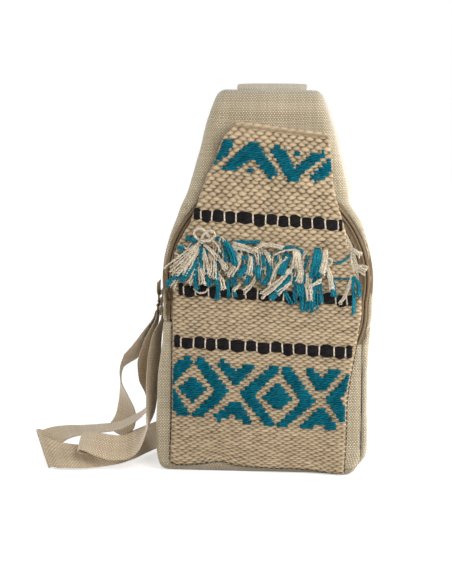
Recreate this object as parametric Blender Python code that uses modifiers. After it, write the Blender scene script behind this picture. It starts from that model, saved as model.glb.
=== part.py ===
"""Single-strap canvas backpack: an arched zip runs round the front, a handwoven panel with a free
tongue covers it, and a webbing strap hangs from a ring at the side. Metres, +Z up, front faces -Y.
Everything on the front is modelled in the frame of the front plane, which leans back: X across,
Z up the plane, -Y out of it."""

import math

import bmesh
import bpy
from mathutils import Vector

# Body, its sections and its lean
BODY_HEIGHT = 0.358
BODY_DEPTH = 0.076
FRONT_LEAN = math.radians(4.5)
CANVAS = 0.0013
FRONT_CORNER = 0.004
SHOULDER_CORNER = 0.010
BACK_CORNER = 0.014
BASE_EDGE = 0.006
# Half width of the body at each height
HALF_WIDTHS = (
    (0.000, 0.0920), (0.015, 0.0965), (0.033, 0.0970), (0.072, 0.0955), (0.116, 0.0950),
    (0.143, 0.0963), (0.171, 0.0972), (0.185, 0.0972), (0.199, 0.0958), (0.215, 0.0918),
    (0.226, 0.0880), (0.237, 0.0828), (0.248, 0.0780), (0.270, 0.0715), (0.293, 0.0660),
    (0.315, 0.0615), (0.342, 0.0535), (0.358, 0.0475),
)
YOKE_BEND_FROM = 0.295
YOKE_BEND = 5.6
BACK_BEND_FROM = 0.240
BACK_BEND = 0.35
TOP_ROUND = 0.006

# Seams between the canvas pieces
SEAM_GAP = 0.0003
SEAM_HEIGHT = 0.1423
BACK_SEAM_INSET = 0.005
FRONT_HALF_WIDTH = 0.0880
FRONT_FOOT = 0.005
FRONT_FOOT_CORNER = 0.012

# Zip arch: a circle in the front plane, then a straight run down each side
ARCH_RADIUS = 0.0915
ARCH_CENTRE = 0.1785
ARCH_BELOW = math.radians(12.0)
ZIP_END = 0.1432
OUTER_LIP = 0.0039
INNER_LIP = 0.0070
TAPE_THICKNESS = 0.0007
TAPE_FACE = -0.0015
TAPE_INNER_EDGE = 0.0009
CHAIN_SLOT = 0.0011
CHAIN_WIDTH = 0.0020
CHAIN_HEIGHT = 0.0015
TOOTH_DEPTH = 0.0009
TEETH = 72

# Slider and puller: at rest the slider stands this far below the arch's centre
SLIDER_REST = math.radians(9.8)
SLIDER_LENGTH = 0.010
SLIDER_WIDTH = 0.0072
SLIDER_TAIL_WIDTH = 0.0060
SLIDER_PLATE = 0.0009
SLIDER_CLEARANCE = 0.0004
WEB_THICKNESS = 0.0006
WEB_LENGTH = 0.0036
FLANGE = 0.0006
BAIL_WIRE = 0.0007
BAIL_HEIGHT = 0.0020
PULLER_LENGTH = 0.018
PULLER_WIDTH = 0.0052
PULLER_THICKNESS = 0.0010
PULLER_SWING = math.radians(13)
PULLER_EYE_BAR = 0.0009
EYE_WIDTH = 0.0038
EYE_LENGTH = 0.0056
STOP_LENGTH = 0.0022

# Woven panel: rows run between its left and right edges
PANEL_THICKNESS = 0.0020
PANEL_SEAT = 0.0004
TONGUE_LIFT = 0.0046
LIFT_FROM = 0.190
LIFT_TO = 0.222
WEAVE_RELIEF = 0.00035
WEAVE_ROWS = 74
WEAVE_COLUMNS = 18
ROLL_ROWS = 3
ROLL_EXTRA = 0.0012
PANEL_LEFT = (
    (-0.0883, 0.0090), (-0.0882, 0.0547), (-0.0875, 0.0910), (-0.0869, 0.1366),
    (-0.0842, 0.1588), (-0.0799, 0.2051), (-0.0775, 0.2374), (-0.0644, 0.2514),
    (-0.0508, 0.2836), (-0.0363, 0.3158), (-0.0300, 0.3241),
)
PANEL_RIGHT = (
    (0.0724, 0.0058), (0.0750, 0.0582), (0.0787, 0.0942), (0.0841, 0.1339),
    (0.0850, 0.1541), (0.0845, 0.1871), (0.0769, 0.2071), (0.0710, 0.2391),
    (0.0655, 0.2600), (0.0570, 0.3060), (0.0500, 0.3165),
)

# Dark yarn bands: (left end, right end, number of pinched lengths)
BAND_HALF_HEIGHT = 0.0056
BAND_THICKNESS = 0.0026
BAND_PINCH = 0.62
BANDS = {
    "dark_band_upper": ((-0.0690, 0.2357), (0.0700, 0.2293), 13),
    "dark_band_middle": ((-0.0820, 0.1681), (0.0825, 0.1605), 15),
    "dark_band_lower": ((-0.0860, 0.1203), (0.0790, 0.1132), 15),
}

# Teal motifs laid into the weave, as outlines in the front plane
YARN_THICKNESS = 0.0009
YARN_HALF_WIDTH = 0.0052
DIAMOND_HALF_WIDTH = 0.0138
DIAMOND_HALF_HEIGHT = 0.0128
LOWER_ZIGZAGS = {
    "teal_arm_left_top": ((-0.0690, 0.1000), (-0.0840, 0.0850)),
    "teal_arm_left_foot": ((-0.0846, 0.0705), (-0.0752, 0.0545)),
    "teal_chevron_1": ((-0.0615, 0.0985), (-0.0405, 0.0750), (-0.0640, 0.0515)),
    "teal_vee_1": ((-0.0400, 0.0985), (-0.0270, 0.0865), (-0.0150, 0.0980)),
    "teal_peak_1": ((-0.0455, 0.0500), (-0.0305, 0.0625), (-0.0180, 0.0465)),
    "teal_chevron_2": ((0.0055, 0.0935), (-0.0170, 0.0710), (0.0030, 0.0470)),
    "teal_chevron_3": ((0.0190, 0.0920), (0.0400, 0.0680), (0.0165, 0.0465)),
    "teal_vee_2": ((0.0405, 0.0935), (0.0503, 0.0815), (0.0635, 0.0930)),
    "teal_peak_2": ((0.0365, 0.0445), (0.0505, 0.0555), (0.0610, 0.0430)),
    "teal_chevron_4": ((0.0735, 0.0880), (0.0610, 0.0680), (0.0690, 0.0510)),
}
UPPER_ZIGZAGS = {
    "teal_top_arm_left": ((-0.0365, 0.3000), (-0.0465, 0.2850)),
    "teal_top_peak": ((-0.0330, 0.2800), (-0.0135, 0.2965), (0.0035, 0.2760)),
    "teal_top_vee": ((0.0085, 0.2955), (0.0245, 0.2745), (0.0460, 0.2920)),
    "teal_top_arm_right": ((0.0560, 0.2840), (0.0455, 0.2740)),
}
DIAMONDS = {
    "teal_diamond_1": (-0.0684, 0.0770),
    "teal_diamond_2": (0.0108, 0.0703),
}

# Fringe: two combs of yarn that hang from a header row across the panel
FRINGE_LEFT = (-0.0770, 0.2170)
FRINGE_RIGHT = (0.0745, 0.2060)
FRINGE_HEADER = 0.0050
FRINGE_LENGTH = 0.041
FRINGE_THICKNESS = 0.0018
FRINGE_SEAT = 0.0005
FRINGE_SPREAD = 0.06

# Webbing and its rings at the wearer's side
WEBBING_WIDTH = 0.025
WEBBING_THICKNESS = 0.0011
RING_WIRE = 0.0018
RING_INSIDE = 0.0265
RING_OPENING = 0.0062
RING_CORNER = 0.0016
TAB_X = -0.09805
TAB_HEIGHT = 0.1780
TAB_RETURN = 0.010
HOOK_TAIL = 0.0020
SIDE_RING = (-0.1024, 0.003, 0.1578)
SIDE_ADJUSTER = (-0.1034, 0.003, 0.1470)
# Routes of the two straps, as band centres with the direction of the width
FRONT_TAIL_ROUTE = (
    ((-0.1655, -0.0362, 0.0206), (0.00, 0.90, 0.42)),
    ((-0.1690, -0.0362, 0.0214), (0.00, 0.90, 0.43)),
    ((-0.1720, -0.0364, 0.0220), (0.00, 0.90, 0.44)),
    ((-0.1741, -0.0373, 0.0237), (0.00, 0.90, 0.44)),
    ((-0.1720, -0.0381, 0.0254), (0.00, 0.90, 0.44)),
    ((-0.1670, -0.0390, 0.0254), (0.00, 0.86, 0.50)),
    ((-0.1560, -0.0415, 0.0237), (0.02, 0.70, 0.71)),
    ((-0.1430, -0.0425, 0.0214), (0.05, 0.52, 0.85)),
    ((-0.1310, -0.0400, 0.0214), (0.00, 0.62, 0.78)),
    ((-0.1200, -0.0340, 0.0262), (-0.10, 0.85, 0.50)),
    ((-0.1125, -0.0260, 0.0360), (-0.12, 0.97, 0.10)),
    ((-0.1100, -0.0170, 0.0520), (-0.03, 0.96, -0.22)),
    ((-0.1100, -0.0080, 0.0740), (0.00, 0.97, -0.25)),
    ((-0.1085, -0.0010, 0.1009), (0.00, 0.99, -0.15)),
    ((-0.1050, 0.0020, 0.1240), (0.00, 1.00, -0.05)),
    ((-0.1010, 0.0030, 0.1370), (0.00, 1.00, 0.00)),
)
BACK_TAIL_ROUTE = (
    ((-0.1078, 0.003, 0.1390), (0.00, 1.00, 0.00)),
    ((-0.1155, 0.006, 0.1244), (0.00, 1.00, -0.05)),
    ((-0.1231, 0.012, 0.1103), (0.03, 0.99, -0.12)),
    ((-0.1341, 0.020, 0.0966), (0.05, 0.98, -0.18)),
    ((-0.1435, 0.026, 0.0840), (-0.02, 1.00, -0.08)),
    ((-0.1451, 0.031, 0.0720), (-0.15, 0.98, 0.00)),
    ((-0.1430, 0.036, 0.0590), (-0.45, 0.88, 0.12)),
    ((-0.1410, 0.040, 0.0430), (-0.76, 0.60, 0.24)),
    ((-0.1440, 0.041, 0.0280), (-0.86, 0.42, 0.27)),
    ((-0.1520, 0.041, 0.0180), (-0.72, 0.62, 0.24)),
)
LONG_ROUTE = (
    ((-0.1056, 0.003, 0.1390), (0.00, 1.00, 0.00)),
    ((-0.1105, 0.007, 0.1240), (0.00, 0.99, -0.10)),
    ((-0.1157, 0.015, 0.1087), (0.09, 0.98, -0.16)),
    ((-0.1194, 0.018, 0.0919), (0.20, 0.96, -0.16)),
    ((-0.1183, 0.019, 0.0739), (0.17, 0.96, -0.18)),
    ((-0.1153, 0.020, 0.0597), (0.04, 0.97, -0.20)),
    ((-0.1173, 0.018, 0.0490), (-0.15, 0.97, -0.10)),
    ((-0.1298, 0.015, 0.0378), (-0.24, 0.95, 0.05)),
    ((-0.1448, 0.012, 0.0309), (-0.23, 0.97, 0.11)),
    ((-0.1608, 0.008, 0.0290), (-0.23, 0.96, 0.13)),
    ((-0.1767, 0.002, 0.0284), (-0.31, 0.94, 0.15)),
    ((-0.1922, -0.007, 0.0276), (-0.38, 0.87, 0.30)),
    ((-0.2038, -0.016, 0.0242), (-0.48, 0.70, 0.53)),
    ((-0.2102, -0.025, 0.0198), (-0.56, 0.50, 0.66)),
    ((-0.2092, -0.034, 0.0167), (-0.53, 0.33, 0.77)),
    ((-0.1990, -0.0405, 0.0148), (-0.48, 0.36, 0.79)),
    ((-0.1840, -0.0405, 0.0126), (-0.42, 0.50, 0.75)),
    ((-0.1664, -0.036, 0.0112), (-0.39, 0.57, 0.72)),
    ((-0.1494, -0.024, 0.0116), (-0.38, 0.53, 0.76)),
    ((-0.1350, 0.002, 0.0122), (-0.36, 0.45, 0.80)),
    ((-0.1243, 0.032, 0.0130), (-0.33, 0.32, 0.88)),
    ((-0.1120, 0.062, 0.0138), (-0.42, 0.11, 0.90)),
    ((-0.0900, 0.084, 0.0190), (-0.57, -0.05, 0.82)),
    ((-0.0640, 0.086, 0.0430), (-0.82, 0.00, 0.57)),
    ((-0.0430, 0.079, 0.0850), (-0.92, 0.00, 0.38)),
    ((-0.0260, 0.073, 0.1330), (-0.97, 0.00, 0.22)),
    ((-0.0120, 0.069, 0.1850), (-0.99, 0.00, 0.12)),
    ((-0.0020, 0.0675, 0.2350), (-1.00, 0.00, 0.02)),
    ((0.0000, 0.0675, 0.2460), (-1.00, 0.00, 0.00)),
)
# Wide base of the strap: (depth, height, width) from its seam on the back to its ring
STRAP_BASE_END = 0.0255
STRAP_BASE_THICKNESS = 0.0030
BASE_RING = (0.0, 0.0657, 0.2580)
BASE_RETURN = 0.010
STRAP_BASE_ROUTE = (
    (0.0372, 0.330, 0.066), (0.0369, 0.346, 0.066), (0.0388, 0.355, 0.066),
    (0.0440, 0.3605, 0.066), (0.0505, 0.3590, 0.064), (0.0560, 0.3510, 0.060),
    (0.0600, 0.3350, 0.052), (0.0620, 0.3100, 0.040), (0.0629, 0.2850, 0.030),
    (0.0630, 0.2700, 0.0255),
)

CANVAS_LIGHT = (0.50, 0.42, 0.30)
WOVEN = (0.45, 0.35, 0.22)
CREAM = (0.62, 0.50, 0.34)
TEAL = (0.012, 0.19, 0.26)
DARK_YARN = (0.014, 0.012, 0.013)
TAPE_BROWN = (0.22, 0.15, 0.08)
COIL_BROWN = (0.045, 0.030, 0.018)
BRONZE = (0.035, 0.026, 0.018)
WEBBING = (0.52, 0.41, 0.28)

for old in list(bpy.data.objects):
    bpy.data.objects.remove(old, do_unlink=True)

backpack = bpy.data.collections.new("backpack")
cutters = bpy.data.collections.new("cutters")
for collection in (backpack, cutters):
    bpy.context.scene.collection.children.link(collection)

front_plane = bpy.data.objects.new("front_plane", None)
front_plane.location = (0, -BODY_DEPTH / 2, 0)
front_plane.rotation_euler = (-FRONT_LEAN, 0, 0)
backpack.objects.link(front_plane)


def material(name, colour, roughness, metallic=0.0):
    """A Principled material, made once for each name."""
    made = bpy.data.materials.get(name)
    if made is None:
        made = bpy.data.materials.new(name)
        made.use_nodes = True
        shader = made.node_tree.nodes["Principled BSDF"]
        shader.inputs["Base Color"].default_value = (*colour, 1)
        shader.inputs["Roughness"].default_value = roughness
        shader.inputs["Metallic"].default_value = metallic
    return made


canvas = material("canvas", CANVAS_LIGHT, 0.9)
woven_yarn = material("woven_yarn", WOVEN, 0.95)
cream_yarn = material("cream_yarn", CREAM, 0.9)
teal_yarn = material("teal_yarn", TEAL, 0.85)
dark_yarn = material("dark_yarn", DARK_YARN, 0.9)
zip_tape = material("zip_tape", TAPE_BROWN, 0.8)
zip_coil = material("zip_coil", COIL_BROWN, 0.45)
bronze = material("antique_bronze", BRONZE, 0.38, 0.9)
webbing = material("webbing", WEBBING, 0.9)

# Combs of the fringe: (fingers, layer off the panel, share of the length, yarn)
FRINGES = {
    "fringe_teal": (18, 0, 0.80, teal_yarn),
    "fringe_cream": (22, 1, 1.00, cream_yarn),
}


def place(name, bm, finish, parent=None, smooth=False):
    """Turns a bmesh into a named object of the backpack."""
    bmesh.ops.recalc_face_normals(bm, faces=bm.faces)
    mesh = bpy.data.meshes.new(name)
    bm.to_mesh(mesh)
    bm.free()
    if smooth:
        mesh.shade_smooth()
        mesh.set_sharp_from_angle(angle=math.radians(40))
    mesh.materials.append(finish)
    made = bpy.data.objects.new(name, mesh)
    made.parent = parent
    backpack.objects.link(made)
    return made


def loft(sections, closed=False, band=False):
    """A closed body through sections with equal numbers of points, with end caps or as a ring.

    The two faces of a twisted band are split along the same diagonals, so they stay apart.
    """
    bm = bmesh.new()
    rings = [[bm.verts.new(point) for point in section] for section in sections]
    for ring, after in zip(rings, rings[1:] + rings[:1] if closed else rings[1:]):
        for i in range(len(ring)):
            j = (i + 1) % len(ring)
            if not band:
                bm.faces.new((ring[i], ring[j], after[j], after[i]))
            elif i == 3:
                bm.faces.new((ring[i], ring[j], after[i]))
                bm.faces.new((ring[j], after[j], after[i]))
            else:
                bm.faces.new((ring[i], ring[j], after[j]))
                bm.faces.new((ring[i], after[j], after[i]))
    if not closed:
        bm.faces.new(rings[0][::-1])
        bm.faces.new(rings[-1])
    return bm


def prism(outline, low, high):
    """An outline of the front plane as a body between two lifts off the plane."""
    bm = bmesh.new()
    face = bm.faces.new([bm.verts.new((x, -low, z)) for x, z in outline])
    made = bmesh.ops.extrude_face_region(bm, geom=[face])
    moved = [item for item in made["geom"] if isinstance(item, bmesh.types.BMVert)]
    bmesh.ops.translate(bm, verts=moved, vec=(0, low - high, 0))
    return bm


def as_cutter(made):
    """Moves an object to the cutters, which are not part of the backpack."""
    backpack.objects.unlink(made)
    cutters.objects.link(made)
    made.hide_render = True
    made.display_type = "WIRE"
    return made


def box(low, high):
    """A block between two corners."""
    bm = bmesh.new()
    bmesh.ops.create_cube(bm, size=1)
    low, high = Vector(low), Vector(high)
    bmesh.ops.scale(bm, verts=bm.verts, vec=high - low)
    bmesh.ops.translate(bm, verts=bm.verts, vec=(low + high) / 2)
    return bm


def boolean(made, other, operation):
    """Adds a Boolean modifier with one other object."""
    cut = made.modifiers.new(operation.lower() + "_" + other.name, "BOOLEAN")
    cut.operation = operation
    cut.object = other


def curve_value(points, at):
    """A smooth curve through (position, value) points, read at one position."""
    last = len(points) - 1
    i = 0
    while i < last - 1 and at > points[i + 1][0]:
        i += 1
    (x0, y0), (x1, y1) = points[i], points[i + 1]

    def slope(k):
        before, after = points[max(k - 1, 0)], points[min(k + 1, last)]
        return (after[1] - before[1]) / (after[0] - before[0])

    run = x1 - x0
    t = min(max((at - x0) / run, 0.0), 1.0)
    return (
        (2 * t**3 - 3 * t**2 + 1) * y0
        + (t**3 - 2 * t**2 + t) * run * slope(i)
        + (3 * t**2 - 2 * t**3) * y1
        + (t**3 - t**2) * run * slope(i + 1)
    )


def along(points, t):
    """A point at share t of a list of points, taken evenly by their number."""
    numbered = [(i / (len(points) - 1), p) for i, p in enumerate(points)]
    return tuple(
        curve_value([(at, p[axis]) for at, p in numbered], t) for axis in range(len(points[0]))
    )


def ease(value, start, end):
    """Rises smoothly from 0 at start to 1 at end."""
    t = min(max((value - start) / (end - start), 0.0), 1.0)
    return t * t * (3 - 2 * t)


# Canvas body: one lofted skin, cut into the pieces it is sewn from


def body_section(height, inset=0.0):
    """A rounded rectangle across the body at one height."""
    half = curve_value(HALF_WIDTHS, height) - inset
    front = -BODY_DEPTH / 2 + height * math.tan(FRONT_LEAN)
    front += YOKE_BEND * max(height - YOKE_BEND_FROM, 0) ** 2 + inset
    back = BODY_DEPTH / 2 - BACK_BEND * max(height - BACK_BEND_FROM, 0) ** 2 - inset
    wide = ease(height, 0.215, 0.290)
    front_radius = FRONT_CORNER + (SHOULDER_CORNER - FRONT_CORNER) * wide
    room = (back - front) * 0.48
    front_radius = min(front_radius, room)
    back_radius = min(BACK_CORNER, room)
    points = []
    corners = (
        (-half, front, front_radius, 180),
        (half, front, front_radius, 270),
        (half, back, back_radius, 0),
        (-half, back, back_radius, 90),
    )
    for x, y, radius, start in corners:
        centre_x = x - math.copysign(radius, x)
        centre_y = y + radius if y == front else y - radius
        for step in range(5):
            angle = math.radians(start + 90 * step / 4)
            points.append(
                (centre_x + radius * math.cos(angle), centre_y + radius * math.sin(angle), height)
            )
    return points


def body_skin():
    """The outer surface of the whole body, from its flat base to its rounded top."""
    sections = []
    for step in range(4):
        turn = math.radians(90 * step / 4)
        sections.append(
            body_section(BASE_EDGE * (1 - math.cos(turn)), BASE_EDGE * (1 - math.sin(turn)))
        )
    heights = (0.006, 0.016, 0.033, 0.052, 0.072, 0.095, 0.116, 0.136, 0.150, 0.165, 0.1785,
               0.192, 0.204, 0.215, 0.226, 0.237, 0.248, 0.259, 0.270, 0.283, 0.297, 0.311,
               0.325, 0.338)
    sections += [body_section(height) for height in heights]
    for step in range(5):
        turn = math.radians(80 * step / 4)
        height = BODY_HEIGHT - TOP_ROUND * (1 - math.sin(turn))
        sections.append(body_section(height, TOP_ROUND * (1 - math.cos(turn))))
    return loft(sections)


def zip_path(offset, step_degrees=6.0, foot=ZIP_END):
    """Points along the zip's path at one distance outside it, from left foot to right foot."""
    radius = ARCH_RADIUS + offset
    ends = ARCH_RADIUS * math.cos(ARCH_BELOW) + offset
    sweep = math.pi + 2 * ARCH_BELOW
    count = max(2, round(math.degrees(sweep) / step_degrees))
    points = [(-ends, foot)]
    for i in range(count + 1):
        angle = -ARCH_BELOW + sweep * i / count
        points.append((-radius * math.cos(angle), ARCH_CENTRE + radius * math.sin(angle)))
    points.append((ends, foot))
    return points


def arch_hole():
    """Outline of the opening that the zip closes, as cut in the upper shell."""
    path = zip_path(OUTER_LIP)
    foot = SEAM_HEIGHT - 0.010
    return [(path[0][0], foot), *path, (path[-1][0], foot)]


def front_outline(margin):
    """Outline of the front panel: a wide foot, then the arch inside the zip."""
    half = FRONT_HALF_WIDTH - margin
    foot = FRONT_FOOT + margin
    shoulder = SEAM_HEIGHT - margin
    arch = zip_path(-INNER_LIP)
    corner = FRONT_FOOT_CORNER
    outline = []
    for side in (-1, 1):
        rim = []
        for step in range(5):
            turn = math.radians(90 * step / 4)
            rim.append((
                side * (half - corner + corner * math.sin(turn)),
                foot + corner - corner * math.cos(turn),
            ))
        rim.append((side * half, shoulder))
        outline = rim + arch if side < 0 else outline + rim[::-1]
    return outline


def make_body():
    skin = body_skin()
    reach = 0.3
    back_cut = BODY_DEPTH / 2 - BACK_SEAM_INSET
    fields = {
        "back_field": box((-reach, back_cut, -reach), (reach, reach, 2 * reach)),
        "ahead_field": box((-reach, back_cut - SEAM_GAP, -reach), (reach, reach, 2 * reach)),
    }
    for name, bm in fields.items():
        as_cutter(place(name, bm, canvas))
    flat = {
        "arch_field": prism(arch_hole(), -0.012, 0.020),
        "front_field": prism(front_outline(SEAM_GAP), -0.012, 0.020),
        "front_room": prism(front_outline(0.0), -0.012, 0.020),
        "upper_field": box((-reach, -reach, SEAM_HEIGHT), (reach, reach, 2 * reach)),
        "lower_field": box((-reach, -reach, -reach), (reach, reach, SEAM_HEIGHT - SEAM_GAP)),
    }
    for name, bm in flat.items():
        as_cutter(place(name, bm, canvas, front_plane))
    plan = {
        "back_panel": (("back_field", "INTERSECT"),),
        "upper_shell": (
            ("upper_field", "INTERSECT"),
            ("arch_field", "DIFFERENCE"),
            ("ahead_field", "DIFFERENCE"),
        ),
        "lower_gusset": (
            ("lower_field", "INTERSECT"),
            ("front_room", "DIFFERENCE"),
            ("ahead_field", "DIFFERENCE"),
        ),
        "front_panel": (("front_field", "INTERSECT"),),
    }
    for name, cuts in plan.items():
        piece = place(name, skin.copy(), canvas, smooth=True)
        wall = piece.modifiers.new("canvas", "SOLIDIFY")
        wall.thickness = CANVAS
        wall.offset = -1
        wall.use_even_offset = True
        for other, operation in cuts:
            boolean(piece, bpy.data.objects[other], operation)
    skin.free()


# Zip: two tapes, two half chains with a slot between them, stops, slider and puller


def strip(name, near, far, low, high, finish, step_degrees=6.0):
    """A band that follows the zip between two offsets and two lifts."""
    sections = []
    for (x0, z0), (x1, z1) in zip(zip_path(near, step_degrees), zip_path(far, step_degrees)):
        sections.append(((x0, -low, z0), (x1, -low, z1), (x1, -high, z1), (x0, -high, z0)))
    return place(name, loft(sections), finish, front_plane)


def chain(name, side):
    """Half of the zip's chain: a cord with teeth that point at the slot."""
    base = TAPE_FACE + SEAM_GAP
    top = base + CHAIN_HEIGHT
    slot = CHAIN_SLOT / 2
    degrees = math.degrees(math.pi + 2 * ARCH_BELOW) / (2 * TEETH)
    foot = ZIP_END + STOP_LENGTH + SEAM_GAP
    tips = zip_path(side * slot, degrees, foot)
    roots = zip_path(side * (slot + TOOTH_DEPTH), degrees, foot)
    backs = zip_path(side * (slot + CHAIN_WIDTH), degrees, foot)
    sections = []
    for i, (tip, root, rear) in enumerate(zip(tips, roots, backs)):
        near = tip if i % 2 else root
        sections.append(
            ((near[0], -base, near[1]), (rear[0], -base, rear[1]),
             (rear[0], -top, rear[1]), (near[0], -top, near[1]))
        )
    return place(name, loft(sections), zip_coil, front_plane)


def slider_outline(half_length):
    """The slider's plate seen from the front, wide at its mouth."""
    wide, narrow = SLIDER_WIDTH / 2, SLIDER_TAIL_WIDTH / 2
    nose = half_length * 0.35
    return (
        (-wide * 0.55, -half_length), (wide * 0.55, -half_length), (wide, -nose * 1.6),
        (wide, -nose * 0.4), (narrow, half_length), (-narrow, half_length),
        (-wide, -nose * 0.4), (-wide, -nose * 1.6),
    )


def on_arch(bm):
    """Moves a piece made round the zip's line to where it lies from the arch's centre."""
    bmesh.ops.translate(bm, verts=bm.verts, vec=(-ARCH_RADIUS, 0, 0))
    return bm


def seat_on_arch(made):
    made.location = (0, 0, ARCH_CENTRE)
    made.rotation_euler = (0, -SLIDER_REST, 0)


def make_zip():
    tape_back = TAPE_FACE - TAPE_THICKNESS
    strip("zip_tape_outer", TAPE_INNER_EDGE, OUTER_LIP - SEAM_GAP, tape_back, TAPE_FACE, zip_tape)
    strip("zip_tape_inner", -INNER_LIP + SEAM_GAP, -TAPE_INNER_EDGE, tape_back, TAPE_FACE, zip_tape)
    chain("zip_chain_outer", 1)
    chain("zip_chain_inner", -1)

    chain_top = TAPE_FACE + SEAM_GAP + CHAIN_HEIGHT
    top_low = chain_top + SLIDER_CLEARANCE
    top_high = top_low + SLIDER_PLATE
    under_high = tape_back - SLIDER_CLEARANCE
    under_low = under_high - SLIDER_PLATE
    outline = slider_outline(SLIDER_LENGTH / 2)
    slider = place("zip_slider", on_arch(prism(outline, top_low, top_high)), bronze, front_plane)
    web_mouth = -SLIDER_LENGTH / 2
    rail_low = TAPE_FACE + SLIDER_CLEARANCE
    tail = SLIDER_TAIL_WIDTH / 2
    pieces = {
        "slider_under": prism(outline, under_low, under_high),
        "slider_web": box(
            (-WEB_THICKNESS / 2, -top_low - SLIDER_PLATE / 2, web_mouth + 0.0004),
            (WEB_THICKNESS / 2, -under_high + SLIDER_PLATE / 2, web_mouth + WEB_LENGTH),
        ),
    }
    for side in (-1, 1):
        edges = sorted((side * SLIDER_WIDTH / 2, side * (SLIDER_WIDTH / 2 - FLANGE)))
        pieces[f"slider_rail_{side + 1}"] = box(
            (edges[0], -top_low - SLIDER_PLATE / 2, -SLIDER_LENGTH * 0.25),
            (edges[1], -rail_low, -SLIDER_LENGTH * 0.02),
        )
    bail_path = (
        (0, -top_high + 0.0003, -0.0030), (0, -top_high - BAIL_HEIGHT, -0.0022),
        (0, -top_high - BAIL_HEIGHT, 0.0020), (0, -top_high + 0.0003, 0.0034),
    )
    sections = []
    for x, y, z in bail_path:
        lean = BAIL_WIRE * (0.4 if abs(y + top_high) < BAIL_HEIGHT / 2 else 1.0)
        away = -BAIL_WIRE if z < 0 else BAIL_WIRE
        sections.append((
            (-BAIL_WIRE, y, z), (BAIL_WIRE, y, z),
            (BAIL_WIRE, y - lean, z + away), (-BAIL_WIRE, y - lean, z + away),
        ))
    pieces["slider_bail"] = loft(sections)
    for name, bm in pieces.items():
        helper = as_cutter(place(name, on_arch(bm), bronze, front_plane))
        seat_on_arch(helper)
        boolean(slider, helper, "UNION")
    seat_on_arch(slider)
    for name, at in (("zip_stop_left", 0), ("zip_stop_right", -1)):
        x, z = zip_path(0.0)[at]
        low = TAPE_FACE + SEAM_GAP
        bm = box(
            (x - CHAIN_WIDTH, -low - CHAIN_HEIGHT, z),
            (x + CHAIN_WIDTH, -low, z + STOP_LENGTH),
        )
        place(name, bm, bronze, front_plane)
    make_puller(slider, top_high)


def make_puller(slider, slider_top):
    """The puller hangs from the bail: a plate whose eye goes round the bail's post."""
    hinge = bpy.data.objects.new("puller_hinge", None)
    hinge.parent = slider
    hinge.location = (-ARCH_RADIUS, -slider_top - BAIL_HEIGHT / 2, 0)
    hinge.rotation_euler = (-FRONT_LEAN, PULLER_SWING, 0)
    backpack.objects.link(hinge)
    wide, eye = PULLER_WIDTH / 2, EYE_WIDTH / 2
    edge = PULLER_EYE_BAR / 2
    outline = (
        (-wide, edge), (wide, edge), (wide, -EYE_LENGTH), (wide * 0.62, -EYE_LENGTH - 0.002),
        (wide * 0.62, -PULLER_LENGTH + 0.003), (wide * 0.9, -PULLER_LENGTH + 0.0015),
        (wide * 0.5, -PULLER_LENGTH), (-wide * 0.5, -PULLER_LENGTH),
        (-wide * 0.9, -PULLER_LENGTH + 0.0015), (-wide * 0.62, -PULLER_LENGTH + 0.003),
        (-wide * 0.62, -EYE_LENGTH - 0.002), (-wide, -EYE_LENGTH),
    )
    half = PULLER_THICKNESS / 2
    puller = place("zip_puller", prism(outline, -half, half), bronze, hinge)
    hole = box((-eye, -PULLER_THICKNESS, -EYE_LENGTH + PULLER_EYE_BAR), (eye, PULLER_THICKNESS, -edge))
    boolean(puller, as_cutter(place("puller_eye", hole, bronze, hinge)), "DIFFERENCE")


# Woven panel with its lifted tongue, and what is worked into it


def panel_lift(height):
    """How far the back of the woven panel stands off the front plane at a height."""
    return PANEL_SEAT + TONGUE_LIFT * ease(height, LIFT_FROM, LIFT_TO)


def panel_face(height):
    return panel_lift(height) + PANEL_THICKNESS + WEAVE_RELIEF


def make_panel():
    """Rows of thick weft: the front stands in staggered bumps, the back is plain."""
    bm = bmesh.new()
    rows = []
    for i in range(WEAVE_ROWS + 1):
        ends = [along(edge, i / WEAVE_ROWS) for edge in (PANEL_LEFT, PANEL_RIGHT)]
        lifts = [panel_lift(height) for _, height in ends]
        roll = ROLL_EXTRA if i > WEAVE_ROWS - ROLL_ROWS else 0.0
        front = []
        for j in range(WEAVE_COLUMNS + 1):
            share = j / WEAVE_COLUMNS
            x, z, lift = (
                low + (high - low) * share
                for low, high in zip((*ends[0], lifts[0]), (*ends[1], lifts[1]))
            )
            relief = WEAVE_RELIEF if (i + j) % 2 else -WEAVE_RELIEF
            lift += PANEL_THICKNESS + roll + relief
            front.append(bm.verts.new((x, -lift, z)))
        back = [bm.verts.new((x, -lift, z)) for (x, z), lift in zip(ends, lifts)]
        rows.append((front, back))
    for (front, back), (over, behind) in zip(rows, rows[1:]):
        for j in range(WEAVE_COLUMNS):
            bm.faces.new((front[j], front[j + 1], over[j + 1], over[j]))
        bm.faces.new((front[-1], back[1], behind[1], over[-1]))
        bm.faces.new((back[1], back[0], behind[0], behind[1]))
        bm.faces.new((back[0], front[0], over[0], behind[0]))
    for front, back in (rows[0], rows[-1]):
        bm.faces.new((*front, back[1], back[0]))
    place("woven_panel", bm, woven_yarn, front_plane)


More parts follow.
